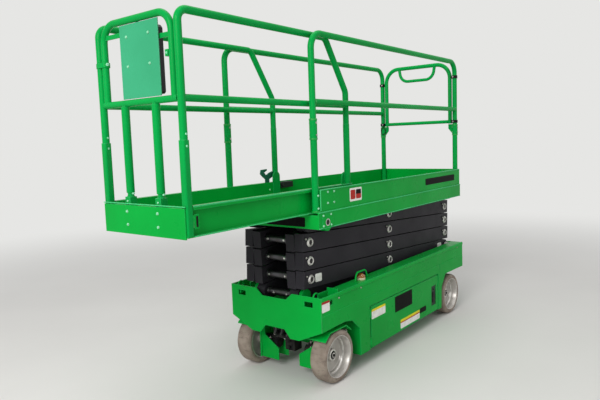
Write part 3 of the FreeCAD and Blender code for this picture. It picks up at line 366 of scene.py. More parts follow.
for end, x in (("front", FRONT_AXLE_X), ("rear", REAR_AXLE_X)):
    for hand, side in HANDS:
        corner = "%s_%s" % (end, hand)
        body, hub = "wheel_" + corner, (x, AXLE_Z)
        piece("tyre_rubber_" + corner, body, "tyre_grey", RUBBER, hollow(TYRE_SECTION, hub, "Y", 96), side=side,
              replaces=["tyre_" + corner])
        piece("rim_steel_" + corner, body, "rim_silver", SILVER, hollow(RIM_SECTION, hub, "Y", 72), side=side,
              replaces=["rim_" + corner])
        piece("hub_nut_" + corner, body, "bare_steel", DARK_STEEL,
              turned([(0.0285, 0.3290), (0.0285, 0.3340), (0.0210, 0.3345)], hub, "Y", 24),
              turned([(0.0190, 0.3340), (0.0190, 0.3470), (0.0170, 0.3490)], hub, "Y", 6),
              turned([(0.0095, 0.3470), (0.0095, 0.3550), (0.0080, 0.3565)], hub, "Y", 20), side=side)
        piece("rim_bright_rings_" + corner, body, "rim_silver", BRIGHT_STEEL,
              hollow([(0.0290, 0.3455), (0.0300, 0.3470), (0.0372, 0.3470), (0.0398, 0.3455), (0.0422, 0.3400),
                      (0.0426, 0.3260), (0.0290, 0.3260)], hub, "Y", 40),
              hollow([(0.0098, 0.3472), (0.0150, 0.3472), (0.0172, 0.3493), (0.0150, 0.3500), (0.0098, 0.3500)],
                     hub, "Y", 24),
              hollow([(0.1212, 0.3385), (0.1240, 0.3428), (0.1262, 0.3455), (0.1250, 0.3462), (0.1215, 0.3425),
                      (0.1200, 0.3385)], hub, "Y", 72), side=side)
        # Dark ring round the hub: painted shadow in the gap between the bright hub ring and the disc.
        piece("hub_shadow_ring_" + corner, body, "bare_steel", DARK_STEEL,
              hollow([(0.0428, 0.3198), (0.0428, 0.3222), (0.0500, 0.3204), (0.0500, 0.3198)], hub, "Y", 40),
              side=side)


# Steering knuckles
# Welded plate forks that carry the front wheels from above. Each has a hydraulic wheel motor on its
# upright with two steel pipes, and a pin at the end of its arm where the tie rod's boot and nut sit.

# Black enamel, also used for black discs and blocks of painted shade in holes and slots.
BLACK = sprayed_enamel("sprayed_black_enamel_and_painted_shade", "#19191B", "#111113", "#343437", gloss=0.4, dusty=0.3)


def wear(material, *names):
    """Gives nodes of the frame their finish."""
    for name in names:
        nodes[name].data.materials.clear()
        nodes[name].data.materials.append(material)


def pipe_sleeve():
    """Nylon sleeve over the steel hydraulic pipes: near black, with a faint spiral wrap of 1.5 mm."""
    material, tree = blank_material("pipe_sleeve")
    place = add(tree, "TexCoord", out="Object")
    wrap = add(tree, "TexWave", {"Vector": place, "Scale": 330.0, "Distortion": 1.0}, "Fac")
    bump = add(tree, "Bump", {"Height": wrap, "Strength": 0.3, "Distance": 0.0003})
    clouds = add(tree, "TexNoise", {"Vector": place, "Scale": grain(70), "Detail": 4})
    dust = add(tree, "MapRange", {"Value": clouds, "From Min": 0.45, "From Max": 0.75})
    finish(tree, add(tree, "Mix", {"Factor": dust, "A": "#17171A", "B": "#3A3835"}), 0.6, bump)
    return material


PIPE = pipe_sleeve()


def tube(name, body, slot, material, radius, *points, side=1):
    """Round bar or pipe bent smoothly along the points; side -1 mirrors it to the right."""
    curve = bpy.data.curves.new(name, "CURVE")
    curve.dimensions = "3D"
    curve.bevel_depth = radius
    curve.bevel_resolution = 2
    curve.use_fill_caps = True
    line = curve.splines.new("NURBS")
    line.points.add(len(points) - 1)
    for spot, (x, y, z) in zip(line.points, points):
        spot.co = (x, side * y, z, 1.0)
    line.order_u = 3
    line.use_endpoint_u = True
    curve.resolution_u = 8
    curve.materials.append(material)
    made = bpy.data.objects.new(name, curve)
    bpy.context.scene.collection.objects.link(made)
    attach(made, body)


KINGPIN_Y, TIE_PIN_X, PIPE_R = 0.310, FRONT_AXLE_X - 0.206, 0.0075
for hand, side in HANDS:
    body = "knuckle_" + hand
    wear(GREEN, "knuckle_" + hand)
    wear(BLACK, "drive_motor_" + hand)
    ports = [FRONT_AXLE_X + dx for dx in (-0.012, 0.012)]
    piece("motor_fixings_" + hand, body, "bare_steel", SCREWS,
          *[bolt(FRONT_AXLE_X + dx, 0.188, AXLE_Z + dz, "-Y", 0.009)
            for dx, dz in ((0.036, 0.036), (-0.036, 0.036), (0.036, -0.036), (-0.036, -0.036))],
          *[turned([(0.009, 0.140), (0.009, 0.148)], (x, 0.227), "Y", 6) for x in ports],
          *[turned([(0.008, 0.234), (0.008, 0.253)], (x, 0.167), "Z", 6) for x in ports], side=side)
    for k, dx in enumerate((-0.012, 0.012)):
        x = FRONT_AXLE_X + dx
        tube("motor_pipe_%s_%d" % (hand, k + 1), body, "black_steel", PIPE, PIPE_R,
             (x, 0.167, 0.246), (x, 0.167, 0.290), (x + 2 * dx, 0.160, 0.325), (x + 4 * dx, 0.185, 0.345),
             (x + 4 * dx, 0.226, 0.352), side=side)
    piece("tie_rod_nut_" + hand, body, "bare_steel", SCREWS,
          turned([(0.013, 0.2935), (0.013, 0.2955), (0.011, 0.2956)], (TIE_PIN_X, KINGPIN_Y), "Z", 18),
          turned([(0.012, 0.2955), (0.012, 0.3045), (0.0105, 0.3055)], (TIE_PIN_X, KINGPIN_Y), "Z", 6), side=side)
wear(SCREWS, "tie_rod")


# Drive manifold
# A drilled black valve block on the chassis, in the hollow between the front wheels, with hex plugs
# and round coils on its face and three short steel pipes. It is a guess at dark shapes in the photograph.

PORT_YS = (-0.055, 0.0, 0.055)
piece("drive_manifold", "chassis", "black_steel", BLACK,
      block((0.405, -0.082, 0.262), (0.560, 0.082, 0.4005)), block((0.420, -0.044, 0.158), (0.500, 0.044, 0.2625)),
      block((0.425, -0.100, 0.318), (0.540, 0.100, 0.392)),
      *[turned([(0.017, 0.559), (0.017, 0.578), (0.013, 0.582)], (y, 0.300), "X", 6) for y in PORT_YS],
      *[turned([(0.014, 0.559), (0.014, 0.572), (0.010, 0.575)], (y + 0.010, 0.352), "X", 20) for y in PORT_YS],
      *[turned([(0.013, 0.499), (0.013, 0.516), (0.010, 0.520)], (0, z), "X", 6) for z in (0.185, 0.230)],
      bevel=0.003)
for k, y in enumerate(PORT_YS):
    tube("manifold_pipe_%d" % (k + 1), "chassis", "black_steel", PIPE, PIPE_R, (0.580, y, 0.300),
         (0.606, y, 0.300), (0.612, y + 0.030, 0.335), (0.608, y + 0.020, 0.375), (0.585, y + 0.010, 0.392))


# Chassis
# Folded and welded steel plate, sprayed green: side plates with angled wheel arches, a thicker nose
# plate with a notched edge, a floor between two side boxes, and a centre spine under it.

wear(GREEN, "chassis_sides", "chassis_front_plate", "chassis_deck", "chassis_spine", "chassis_rear_plate")
wear(BLACK, "rear_axle")


def weld_bead():
    """Welding bead under the enamel: the same green with the ripples of the run, 3 mm apart."""
    material, tree = blank_material("weld_bead")
    place = add(tree, "TexCoord", out="Object")
    ripple = add(tree, "TexNoise", {"Vector": place, "Scale": grain(3), "Detail": 2})
    bump = add(tree, "Bump", {"Height": ripple, "Strength": 0.8, "Distance": 0.0008})
    spots = add(tree, "TexNoise", {"Vector": place, "Scale": grain(9), "Detail": 3})
    thick = add(tree, "MapRange", {"Value": spots, "From Min": 0.4, "From Max": 0.7})
    finish(tree, add(tree, "Mix", {"Factor": thick, "A": "#00A03C", "B": "#008A33"}), 0.4, bump)
    return material


def arc(centre, radii, start, turn, count):
    """Points along an ellipse, from start degrees in even turns."""
    angles = [radians(start + turn * i) for i in range(count)]
    return [(centre[0] + radii[0] * cos(a), centre[1] + radii[1] * sin(a)) for a in angles]


WELD = weld_bead()
SKIN_Y = 0.402
SKIRT_FRONT = [(0.648, 0.508), (0.648, 0.4015), (0.394, 0.4095), (0.292, 0.3905), (0.197, 0.3080), (0.190, 0.108),
               (0.065, 0.108), (0.065, 0.433), (-1.112, 0.433), (-1.112, 0.108), (-1.136, 0.108), (-1.136, 0.508)]
SKIRT_REAR = [(-1.1395, 0.508), (-1.1395, 0.108), (-1.1690, 0.108), (-1.1775, 0.3015), (-1.2605, 0.4015),
              (-1.653, 0.3975), (-1.653, 0.508)]
FOLD = [(SKIN_Y, 0.6015), (SKIN_Y + 0.005, 0.6060), (SKIN_Y + 0.005, 0.6190), (SKIN_Y, 0.6300)]
for hand, side in HANDS:
    piece("side_skirt_" + hand, "chassis", "green_paint", GREEN,
          slab(SKIRT_FRONT, SKIN_Y - 0.001, SKIN_Y + 0.0025, "Y"), slab(SKIRT_REAR, SKIN_Y - 0.001, SKIN_Y + 0.0025, "Y"),
          slab(FOLD, -1.653, 0.651, "X"), side=side, bevel=0.0012)
    for k, (x, y) in enumerate(((0.653, 0.401), (-1.642, 0.393))):
        tube("corner_weld_%s_%d" % (hand, k + 1), "chassis", "green_paint", WELD, 0.0032,
             (x, y, 0.402), (x, y, 0.5155), (x, y, 0.629), side=side)
    piece("side_bolts_" + hand, "chassis", "bare_steel", SCREWS,
          *[bolt(x, SKIN_Y, z, "+Y", 0.0065) for x, z in ((0.453, 0.590), (0.175, 0.597), (-1.523, 0.598))], side=side)

RING_X, RING_Y, TIE_HOLE = 0.626, 0.338, (0.543, 0.580)
piece("lashing_rings", "chassis", "green_paint", GREEN,
      both(hollow(arc((0.026, RING_Y), (0.006, 0.006), 0, 45, 8), (RING_X, 0.625), "Y", 28),
           block((RING_X - 0.015, RING_Y - 0.012, 0.560), (RING_X + 0.015, RING_Y + 0.012, 0.606))), bevel=0.0008)
piece("tie_hole_rims", "chassis", "green_paint", GREEN,
      both(hollow([(0.0172, 0.4018), (0.0200, 0.4018), (0.0205, 0.4032), (0.0195, 0.4038), (0.0172, 0.4036)],
                  TIE_HOLE, "Y", 28)))
# Black disc behind each tie hole: painted shade inside the hole.
piece("tie_hole_shade_discs", "chassis", "black_steel", BLACK,
      both(turned([(0.0200, 0.3935), (0.0200, 0.3925)], TIE_HOLE, "Y", 24)))


# Rear end of the chassis
# The rear plate carries the ladder, the mains inlet for the charger under its flap, and the emergency
# lowering knob on a yellow plate, each bolted on.

def moulded_abs(name, colour, pale, rough=0.45):
    """Injection-moulded ABS with a fine 0.8 mm spark-eroded grain and rubbed high spots."""
    material, tree = blank_material(name)
    place = add(tree, "TexCoord", out="Object")
    hands = add(tree, "TexNoise", {"Vector": place, "Scale": grain(55), "Detail": 5})
    rubbed_and_lit = add(tree, "MapRange", {"Value": hands, "From Min": 0.5, "From Max": 0.75})
    sparks = add(tree, "TexNoise", {"Vector": place, "Scale": grain(0.8), "Detail": 2})
    bump = add(tree, "Bump", {"Height": sparks, "Strength": 0.35, "Distance": 0.0003})
    tone = add(tree, "Mix", {"Factor": add(tree, "Math", {0: rubbed_and_lit, 1: 0.5}), "A": colour, "B": pale})
    finish(tree, tone, rough, bump, Specular_IOR_Level=0.25)
    return material


BLACK_ABS = moulded_abs("black_abs", "#121213", "#222224")
RED_ABS = moulded_abs("red_abs", "#B3170F", "#C0392B", 0.35)
YELLOW_ABS = moulded_abs("yellow_abs", "#D9A712", "#E2BC48", 0.4)
wear(GREEN, "rear_ladder")
REAR_X, KNOB_Y = -1.640, -0.280
piece("charger_inlet", "chassis", "box_black", BLACK_ABS,
      block((REAR_X - 0.034, 0.235, 0.440), (REAR_X + 0.001, 0.325, 0.530)),
      block((REAR_X - 0.040, 0.230, 0.520), (REAR_X - 0.002, 0.330, 0.536)), bevel=0.004)
piece("lowering_knob", "chassis", "box_black", RED_ABS,
      turned([(0.020, -1.6395), (0.020, -1.662), (0.032, -1.664), (0.034, -1.672), (0.030, -1.678)],
             (KNOB_Y, 0.500), "X", 28), bevel=0.001)
piece("lowering_knob_plate", "chassis", "box_black", YELLOW_ABS,
      block((REAR_X - 0.003, KNOB_Y - 0.055, 0.445), (REAR_X + 0.001, KNOB_Y + 0.055, 0.555)), bevel=0.0015)
piece("rear_plate_bolts", "chassis", "bare_steel", SCREWS,
      *[bolt(REAR_X, y, z, "-X", 0.007) for y, z in ((0.226, 0.43), (0.334, 0.43), (0.226, 0.546), (0.334, 0.546),
                                                      (KNOB_Y - 0.06, 0.43), (KNOB_Y + 0.06, 0.43))],
      *[bolt(REAR_X, y, 0.600, "-X", 0.010) for y in (-0.3, -0.1, 0.1, 0.3)])


# Beacon
# Amber polycarbonate lens with vertical prisms on a cream base, under a bent green hoop.

def amber_polycarbonate():
    """Clear dyed polycarbonate over a lamp: deep orange, glossy, letting some light through."""
    material, tree = blank_material("amber_polycarbonate")
    clouds = add(tree, "TexNoise", {"Vector": add(tree, "TexCoord", out="Object"), "Scale": grain(25), "Detail": 3})
    depth = add(tree, "MapRange", {"Value": clouds, "From Min": 0.35, "From Max": 0.7})
    finish(tree, add(tree, "Mix", {"Factor": depth, "A": "#B5731A", "B": "#8A4F0C"}), 0.14, None, IOR=1.58,
           Transmission_Weight=0.3, Coat_Weight=0.5)
    return material


def prismed_dome(centre, rows, ribs):
    """Dome of rows (height, radius, prism depth), whose wall goes in and out from rib to rib."""
    points = [(centre[0] + (radius + (depth if i % 2 else -depth)) * cos(2 * pi * i / ribs),
               centre[1] + (radius + (depth if i % 2 else -depth)) * sin(2 * pi * i / ribs), height)
              for height, radius, depth in rows for i in range(ribs)]
    walls = [(k + i, k + (i + 1) % ribs, k + ribs + (i + 1) % ribs, k + ribs + i)
             for k in range(0, (len(rows) - 1) * ribs, ribs) for i in range(ribs)]
    return points, walls + [range(ribs), range(len(points) - ribs, len(points))]


wear(GREEN, "beacon_guard")
BEACON = (0.084, 0.350)
piece("beacon_lens", "chassis", "amber_lens", amber_polycarbonate(),
      prismed_dome(BEACON, ((0.640, 0.0275, 0.0012), (0.655, 0.0270, 0.0012), (0.665, 0.0235, 0.0006),
                            (0.672, 0.0150, 0.0), (0.6755, 0.0050, 0.0)), 72), smooth=60, replaces=["beacon_light"])
piece("beacon_base", "chassis", "rim_silver", moulded_abs("cream_abs", "#CFC3A4", "#DAD0B5", 0.4),
      turned([(0.030, 0.630), (0.030, 0.642), (0.0285, 0.646)], BEACON, "Z", 40))


# Trays
# Each side of the chassis has a door with a shelf welded behind it, hung on pins at its front and
# held shut by a paddle latch in a pressed pocket. The left shelf carries the four batteries, the
# right one the pump, its motor, the oil tank and the valve block.

# Dark green for the latch pocket: the door's green under painted shade, since the pocket is a recess.
SHADED_POCKET = moulded_abs("pocket_painted_shade_abs", "#0A2E18", "#114325", 0.5)
DOOR_REAR_X, DOOR_FRONT_X, DOOR_LOW_Z, DOOR_TOP_Z, LIP = -1.095, 0.040, 0.1195, 0.4180, 0.003
DOOR_EDGES = [(DOOR_REAR_X, DOOR_LOW_Z, DOOR_FRONT_X, DOOR_LOW_Z), (DOOR_FRONT_X, DOOR_LOW_Z, DOOR_FRONT_X, DOOR_TOP_Z),
              (DOOR_REAR_X, DOOR_TOP_Z, DOOR_FRONT_X, DOOR_TOP_Z), (DOOR_REAR_X, DOOR_LOW_Z, DOOR_REAR_X, DOOR_TOP_Z)]
for hand, side in HANDS:
    body = "tray_" + hand
    wear(GREEN, "tray_door_" + hand, "pothole_guard_" + hand)
    piece("latch_pocket_" + hand, body, "box_black", SHADED_POCKET,
          block((-1.0590, 0.3971, 0.171), (-0.9680, 0.3982, 0.343)), side=side)
    piece("paddle_latch_" + hand, body, "box_black", BLACK, block((-1.0350, 0.398, 0.196), (-0.9920, 0.4030, 0.288)),
          turned([(0.007, 0.398), (0.007, 0.4025), (0.005, 0.4032)], (-1.0135, 0.312), "Y", 20), side=side,
          bevel=0.0015)
    piece("door_folded_edge_" + hand, body, "green_paint", GREEN,
          *[block((x0 - LIP, 0.4015, z0 - LIP), (x1 + LIP, 0.4035, z1 + LIP)) for x0, z0, x1, z1 in DOOR_EDGES],
          side=side, bevel=0.0009)

CASE = moulded_abs("polypropylene_case", "#202226", "#3A3C3E", 0.5)
CASE_PITCH, CASE_LENGTH, RIB_PITCH = 0.268, 0.255, 0.034
cases, lids, posts = [], [], []
for k in range(4):
    x0 = -1.037 + CASE_PITCH * k
    x1 = x0 + CASE_LENGTH
    cases.append(block((x0, 0.110, 0.143), (x1, 0.290, 0.372)))
    for i in range(7):
        x = x0 + 0.025 + RIB_PITCH * i
        cases.append(block((x, 0.108, 0.165), (x + 0.008, 0.292, 0.350)))
    lids.append(block((x0 - 0.0005, 0.1095, 0.372), (x1 + 0.0005, 0.2905, 0.392)))
    lids += [turned([(0.016, 0.392), (0.016, 0.399), (0.012, 0.400)], (x0 + 0.055 + 0.072 * i, 0.200), "Z", 20)
             for i in range(3)]
    posts += [turned([(0.009, 0.392), (0.009, 0.403)], (x0 + 0.030, y), "Z", 16) for y in (0.135, 0.265)]
piece("battery_cases", "tray_left", "battery_case", CASE, *cases, bevel=0.003, replaces=["battery_pack"])
piece("battery_lids", "tray_left", "battery_case", BLACK_ABS, *lids, bevel=0.003)
piece("battery_posts", "tray_left", "bare_steel", SCREWS, *posts, bevel=0.0008)
for k in range(3):
    x = -1.007 + CASE_PITCH * k
    tube("battery_link_%d" % (k + 1), "tray_left", "box_black", PIPE, 0.006, (x, 0.135, 0.398),
         (x + 0.05, 0.150, 0.404), (x + 0.14, 0.200, 0.404), (x + 0.22, 0.250, 0.404), (x + CASE_PITCH, 0.265, 0.398))

wear(BLACK, "hydraulic_unit")
piece("tank_cap_and_coils", "tray_right", "box_black", BLACK_ABS,
      turned([(0.030, 0.372), (0.030, 0.390), (0.026, 0.394)], (-0.800, -0.240), "Z", 28),
      *[turned([(0.019, 0.290), (0.019, 0.345), (0.016, 0.349)], (x, -0.215), "Z", 24) for x in (-0.20, -0.15)],
      bevel=0.001)
FIN_XS = [-0.495 + 0.0115 * i for i in range(16)]
piece("pump_motor_fins", "tray_right", "black_steel", BLACK,
      *[hollow([(0.0615, x), (0.0655, x), (0.0655, x + 0.004), (0.0615, x + 0.004)], (-0.220, 0.228), "X", 40)
        for x in FIN_XS])
for k, (y, drop) in enumerate(((-0.17, 0.02), (-0.28, 0.0))):
    tube("tank_pipe_%d" % (k + 1), "tray_right", "black_steel", PIPE, 0.009, (-0.56, y, 0.30 - drop),
         (-0.50, y, 0.315), (-0.40, y - 0.01, 0.325), (-0.30, y, 0.310), (-0.262, y, 0.270 - drop))


# Scissor pack
# Four pairs of crossed arms of closed rectangular tube in charcoal enamel. Each pin is held by a
# turned collar and a keeper plate with one screw. Oiled shafts with two bright screws join the arms across.

CHARCOAL = sprayed_enamel("sprayed_charcoal_enamel", "#302E33", "#28262B", "#4C4A50", dirt="#4E4A46", chips="#5D5853",
                          gloss=0.4, dusty=0.25)
PIN_STEEL = machined_steel("greased_pin_steel", "#D2D0CB", 0.38, 0.35)
# Near-black for the discs in the middle of the pin collars: painted shade in the recess there.
PIN_END_STEEL = machined_steel("pin_end_painted_shade", "#161516", 0.55, 0.4)
SHAFT_STEEL = machined_steel("oiled_shaft_steel", "#545357", 0.3)
SPAN, RISE, FRONT_X, FIRST_Z = 2.136, 0.1258, 0.5666, 0.597
ARM_FACE_Y = 0.258
PIN_COLLAR = [(r, ARM_FACE_Y + out) for r, out in ((0.0180, 0.0020), (0.0315, 0.0002), (0.0318, 0.0025),
                                                   (0.0250, 0.0118), (0.0215, 0.0122), (0.0180, 0.0100))]
PIN_END = [(r, ARM_FACE_Y + out) for r, out in ((0.0181, 0.0005), (0.0181, 0.0060), (0.0160, 0.0066))]
wear(PIN_STEEL, "chassis_rollers", "deck_rollers")


def keeper(x, z):
    """Flat tab beside the pin's collar, reaching up and forward to one screw."""
    outline = [(0.014, 0.028), (0.030, 0.008), (0.059, 0.019), (0.054, 0.037), (0.042, 0.041)]
    return slab([(x + dx, z + dz) for dx, dz in outline], ARM_FACE_Y + 0.0002, ARM_FACE_Y + 0.0042, "Y")


def shaft_collars(bore, end, z):
    """A collar at each end of a cross shaft, against the arms."""
    return both(hollow([(bore, 0.098), (0.0300, 0.098), (0.0310, 0.100), (0.0310, end), (bore, end)],
                       (FRONT_X, z), "Y", 36))


def shaft_screws(y_places, z):
    """Round-headed screws in the front of a cross shaft."""
    head = [(0.0085, FRONT_X + 0.0240), (0.0085, FRONT_X + 0.0285), (0.0060, FRONT_X + 0.0312)]
    return [turned(head, (y, z + 0.001), "X", 16) for y in y_places]


for level in range(1, 5):
    wear(CHARCOAL, "inner_arm_%d" % level, "outer_arm_%d" % level)
    body, low_z = "outer_arm_%d" % level, FIRST_Z + (level - 1) * RISE
    pins = [(FRONT_X - SPAN * share, low_z + RISE * (1 - share))
            for share, shown in ((0, level < 4), (0.5, True), (1, level > 1)) if shown]
    piece("pin_collars_%d" % level, body, "bare_steel", PIN_STEEL,
          both(*[hollow(PIN_COLLAR, pin, "Y", 40) for pin in pins]))
    # Dark disc in each collar: painted shade in the recess around the pin's end.
    piece("pin_ends_%d" % level, body, "bare_steel", PIN_END_STEEL,
          both(*[turned(PIN_END, pin, "Y", 32) for pin in pins]))
    piece("pin_keepers_%d" % level, body, "arm_black", CHARCOAL, both(*[keeper(x, z) for x, z in pins]),
          bevel=0.0006)
    piece("keeper_screws_%d" % level, body, "bare_steel", SCREWS,
          both(*[bolt(x + 0.047, ARM_FACE_Y + 0.004, z + 0.027, "+Y", 0.0065) for x, z in pins]))
    shaft_z = low_z + RISE
    piece("shaft_collars_%d" % level, body, "bare_steel", SHAFT_STEEL, shaft_collars(0.0252, 0.1125, shaft_z))
    piece("shaft_screws_%d" % level, body, "bare_steel", BRIGHT_STEEL, *shaft_screws((-0.089, 0.056), shaft_z))
    piece("shaft_sleeve_%d" % level, body, "bare_steel", SHAFT_STEEL,
          hollow([(0.0251, -0.0975), (0.0257, -0.0975), (0.0257, 0.0975), (0.0251, 0.0975)],
                 (FRONT_X, shaft_z), "Y", 36))
piece("pivot_shaft", "chassis", "bare_steel", SHAFT_STEEL,
      turned([(0.0256, -0.1122), (0.0256, 0.1122)], (FRONT_X, FIRST_Z), "Y", 36))
piece("pivot_shaft_collars", "chassis", "bare_steel", SHAFT_STEEL, shaft_collars(0.0258, 0.1122, FIRST_Z))
piece("pivot_shaft_screws", "chassis", "bare_steel", BRIGHT_STEEL, *shaft_screws((-0.053, 0.063), FIRST_Z))


# Lift cylinders
# Two hydraulic cylinders in the middle of the pack: black barrels with a screwed gland, a lock valve
# and a steel pipe, and hard-chromed rods.

def hard_chrome():
    """Ground hard chrome, wet with an oil film: mirror-like with faint lengthwise wipe marks."""
    material, tree = blank_material("hard_chrome")
    place = add(tree, "TexCoord", out="Object")
    drawn = add(tree, "Mapping", {"Vector": place, "Scale": (0.1, 1, 1)})
    wipe = add(tree, "TexNoise", {"Vector": drawn, "Scale": grain(6), "Detail": 3})
    rough = add(tree, "MapRange", {"Value": wipe, "To Min": 0.08, "To Max": 0.2}, interpolation_type="LINEAR")
    finish(tree, add(tree, "Mix", {"Factor": wipe, "A": "#C9CBCE", "B": "#B4B6BA"}), rough, None, Metallic=1.0)
    return material


CHROME = hard_chrome()
LEAN = atan2(RISE, SPAN)
FOOT_REACH, HEAD_REACH = 1.5, 0.7
for level in (1, 3):
    body, low_z = "lift_barrel_%d" % level, FIRST_Z + (level - 1) * RISE
    wear(BLACK, body)
    wear(CHROME, "lift_rod_%d" % level)
    foot = Vector((FRONT_X - FOOT_REACH * cos(LEAN), 0, low_z + FOOT_REACH * sin(LEAN)))
    head = Vector((FRONT_X - HEAD_REACH * cos(LEAN), 0, low_z + RISE + HEAD_REACH * sin(LEAN)))
    way = (head - foot).normalized()
    spot = foot + way * 0.12 + Vector((-way.z, 0, way.x)) * 0.040
    piece("lock_valve_%d" % level, body, "bare_steel", SCREWS,
          block((spot.x - 0.028, -0.022, spot.z - 0.012), (spot.x + 0.028, 0.022, spot.z + 0.020)),
          turned([(0.012, 0.022), (0.012, 0.040), (0.009, 0.043)], (spot.x, spot.z + 0.004), "Y", 6), bevel=0.0015)
    tube("cylinder_pipe_%d" % level, body, "black_steel", PIPE, 0.007,
         spot + Vector((-0.01, -0.022, 0)), spot + Vector((-0.01, -0.045, 0)),
         spot + way * 0.06 + Vector((0, -0.050, -0.02)), foot + way * 0.30 + Vector((0, -0.046, 0)),
         foot + way * 0.50 + Vector((0, -0.044, 0)))


# Platform
# A welded frame of folded channels under a chequered floor, with sheet toe panels bolted along it.
# The folds' edges carry pale strips of painted highlight, and the bolts' heads are pale enamel with a painted glint. A
# bright ring marks the front pins of the top arms.

# Pale green for thin strips along fold edges and lips: painted highlight where those edges catch the light.
EDGE_LIGHT_GREEN = sprayed_enamel("painted_edge_light_enamel", "#38C274", "#2BB567", "#8AE6B0", gloss=0.3, dusty=0.1)
# Bolt heads made pale mint: a painted highlight standing for their bright glints.
BOLT_GLINT_ENAMEL = sprayed_enamel("bolt_enamel_with_painted_glint", "#8ADBAE", "#78CF9E", "#CDF3DC", gloss=0.25, dusty=0.05)
DECK_FRONT_X, DECK_REAR_X = 0.663, -1.584
wear(GREEN, "platform_frame", "platform_deck", "toe_panels", "rear_toe_board")
for hand, side in HANDS:
    # Pale strips on the panel's top edge and the frame's lips are painted highlight.
    piece("panel_lips_" + hand, "platform", "green_paint", EDGE_LIGHT_GREEN,
          block((-1.576, 0.405, 1.327), (0.635, 0.4105, 1.334)), block((0.628, 0.405, 1.196), (0.635, 0.4095, 1.334)),
          block((DECK_REAR_X, 0.411, 1.1835), (DECK_FRONT_X, 0.4148, 1.191)),
          block((DECK_REAR_X, 0.411, 1.081), (DECK_FRONT_X, 0.4148, 1.0875)), side=side, bevel=0.0015)
    piece("platform_bolts_" + hand, "platform", "green_paint", BOLT_GLINT_ENAMEL,
          *[bolt(x, y, z, "+Y", 0.0072) for x, y, z in (
              (0.552, 0.406, 1.313), (0.481, 0.406, 1.312), (0.553, 0.406, 1.241), (0.483, 0.406, 1.241),
              (0.648, 0.3995, 1.297), (0.648, 0.3995, 1.215),
              (0.618, 0.4140, 1.166), (0.535, 0.4140, 1.168), (0.618, 0.4140, 1.099), (0.533, 0.4140, 1.099))],
          side=side)
    # Dark disc in the pin bore: painted shade inside the hole.
    piece("pivot_bore_shade_" + hand, "platform", "black_steel", DARK_STEEL,
          turned([(0.0210, 0.4140), (0.0210, 0.4153)], (0.574, 1.119), "Y", 36), side=side)
    piece("pivot_ring_" + hand, "platform", "bare_steel", PIN_STEEL,
          hollow([(0.0170, 0.4148), (0.0235, 0.4140), (0.0235, 0.4158), (0.0180, 0.4158)], (0.570, 1.119), "Y", 36),
          side=side)


def chequers(start_x, columns, top):
    """Lozenges 23 mm long and 1.6 mm high, 37 mm apart, rolled crosswise in turn into the floor sheet."""
    lozenges = []
    for i in range(columns):
        for j in range(17):
            x, y = start_x + 0.0365 * i, -0.296 + 0.037 * j
            c, s = cos(radians(45)), sin(radians(45 if (i + j) % 2 else -45))
            spread = [(u * c - v * s, u * s + v * c) for u, v in ((0.0115, 0), (0, 0.0032), (-0.0115, 0), (0, -0.0032))]
            base = [(x + across, y + along, top - 0.0003) for across, along in spread]
            crown = [(x + 0.75 * across, y + 0.75 * along, top + 0.0016) for across, along in spread]
            walls = [(k, (k + 1) % 4, 4 + (k + 1) % 4, 4 + k) for k in range(4)]
            lozenges.append((base + crown, [range(4, 8)] + walls))
    return lozenges


piece("floor_chequers", "platform", "deck_steel", GREEN, *chequers(-1.555, 47, 1.172))


# Guard rails and gate
# Bent and welded green tube. The upper halves fold down on pins in sleeves half way up the posts;
# each sleeve is held by a clevis pin. The gate is hinged at the right and hooks over the left post.

RAIL_GREEN = sprayed_enamel("sprayed_rail_enamel", "#049E45", "#02943F", "#4CCF88", gloss=0.28, dusty=0.08)
wear(RAIL_GREEN, "main_guard_rails", "entry_gate")
RAIL_Y, FRONT_POST_X, REAR_POST_X = 0.378, 0.648, -1.554
SLEEVE_LOW, MID_RAIL_Z = 1.656, 1.887
collars, pins = [], []
for x, top, inward in ((FRONT_POST_X, 1.775, -1), (REAR_POST_X, 1.742, 1)):
    collars += [hollow(section, (x, RAIL_Y), "Z", 28) for section in (
        [(0.0218, top - 0.004), (0.0262, top - 0.004), (0.0266, top), (0.0262, top + 0.006), (0.0218, top + 0.008)],
        [(0.0218, SLEEVE_LOW - 0.008), (0.0262, SLEEVE_LOW - 0.006), (0.0266, SLEEVE_LOW),
         (0.0262, SLEEVE_LOW + 0.004), (0.0218, SLEEVE_LOW + 0.004)],
        [(0.0205, 1.1915), (0.0300, 1.1915), (0.0300, 1.1950), (0.0230, 1.2010), (0.0205, 1.2010)])]
    collars.append(hollow([(r, x + inward * out) for r, out in ((0.0165, 0.012), (0.0215, 0.014), (0.0185, 0.024),
                                                                (0.0165, 0.026))], (RAIL_Y, MID_RAIL_Z), "X", 24))
    clevis = [(0.0070, RAIL_Y - 0.0275), (0.0070, RAIL_Y + 0.0275), (0.0052, RAIL_Y + 0.0290)]
    pins += [turned(clevis, (x, z), "Y", 14) for z in (SLEEVE_LOW + 0.022, top - 0.020)]
for hand, side in HANDS:
    piece("rail_collars_" + hand, "platform", "green_paint", WELD, *collars, side=side)
    piece("rail_pins_" + hand, "platform", "bare_steel", SCREWS, *pins, side=side)

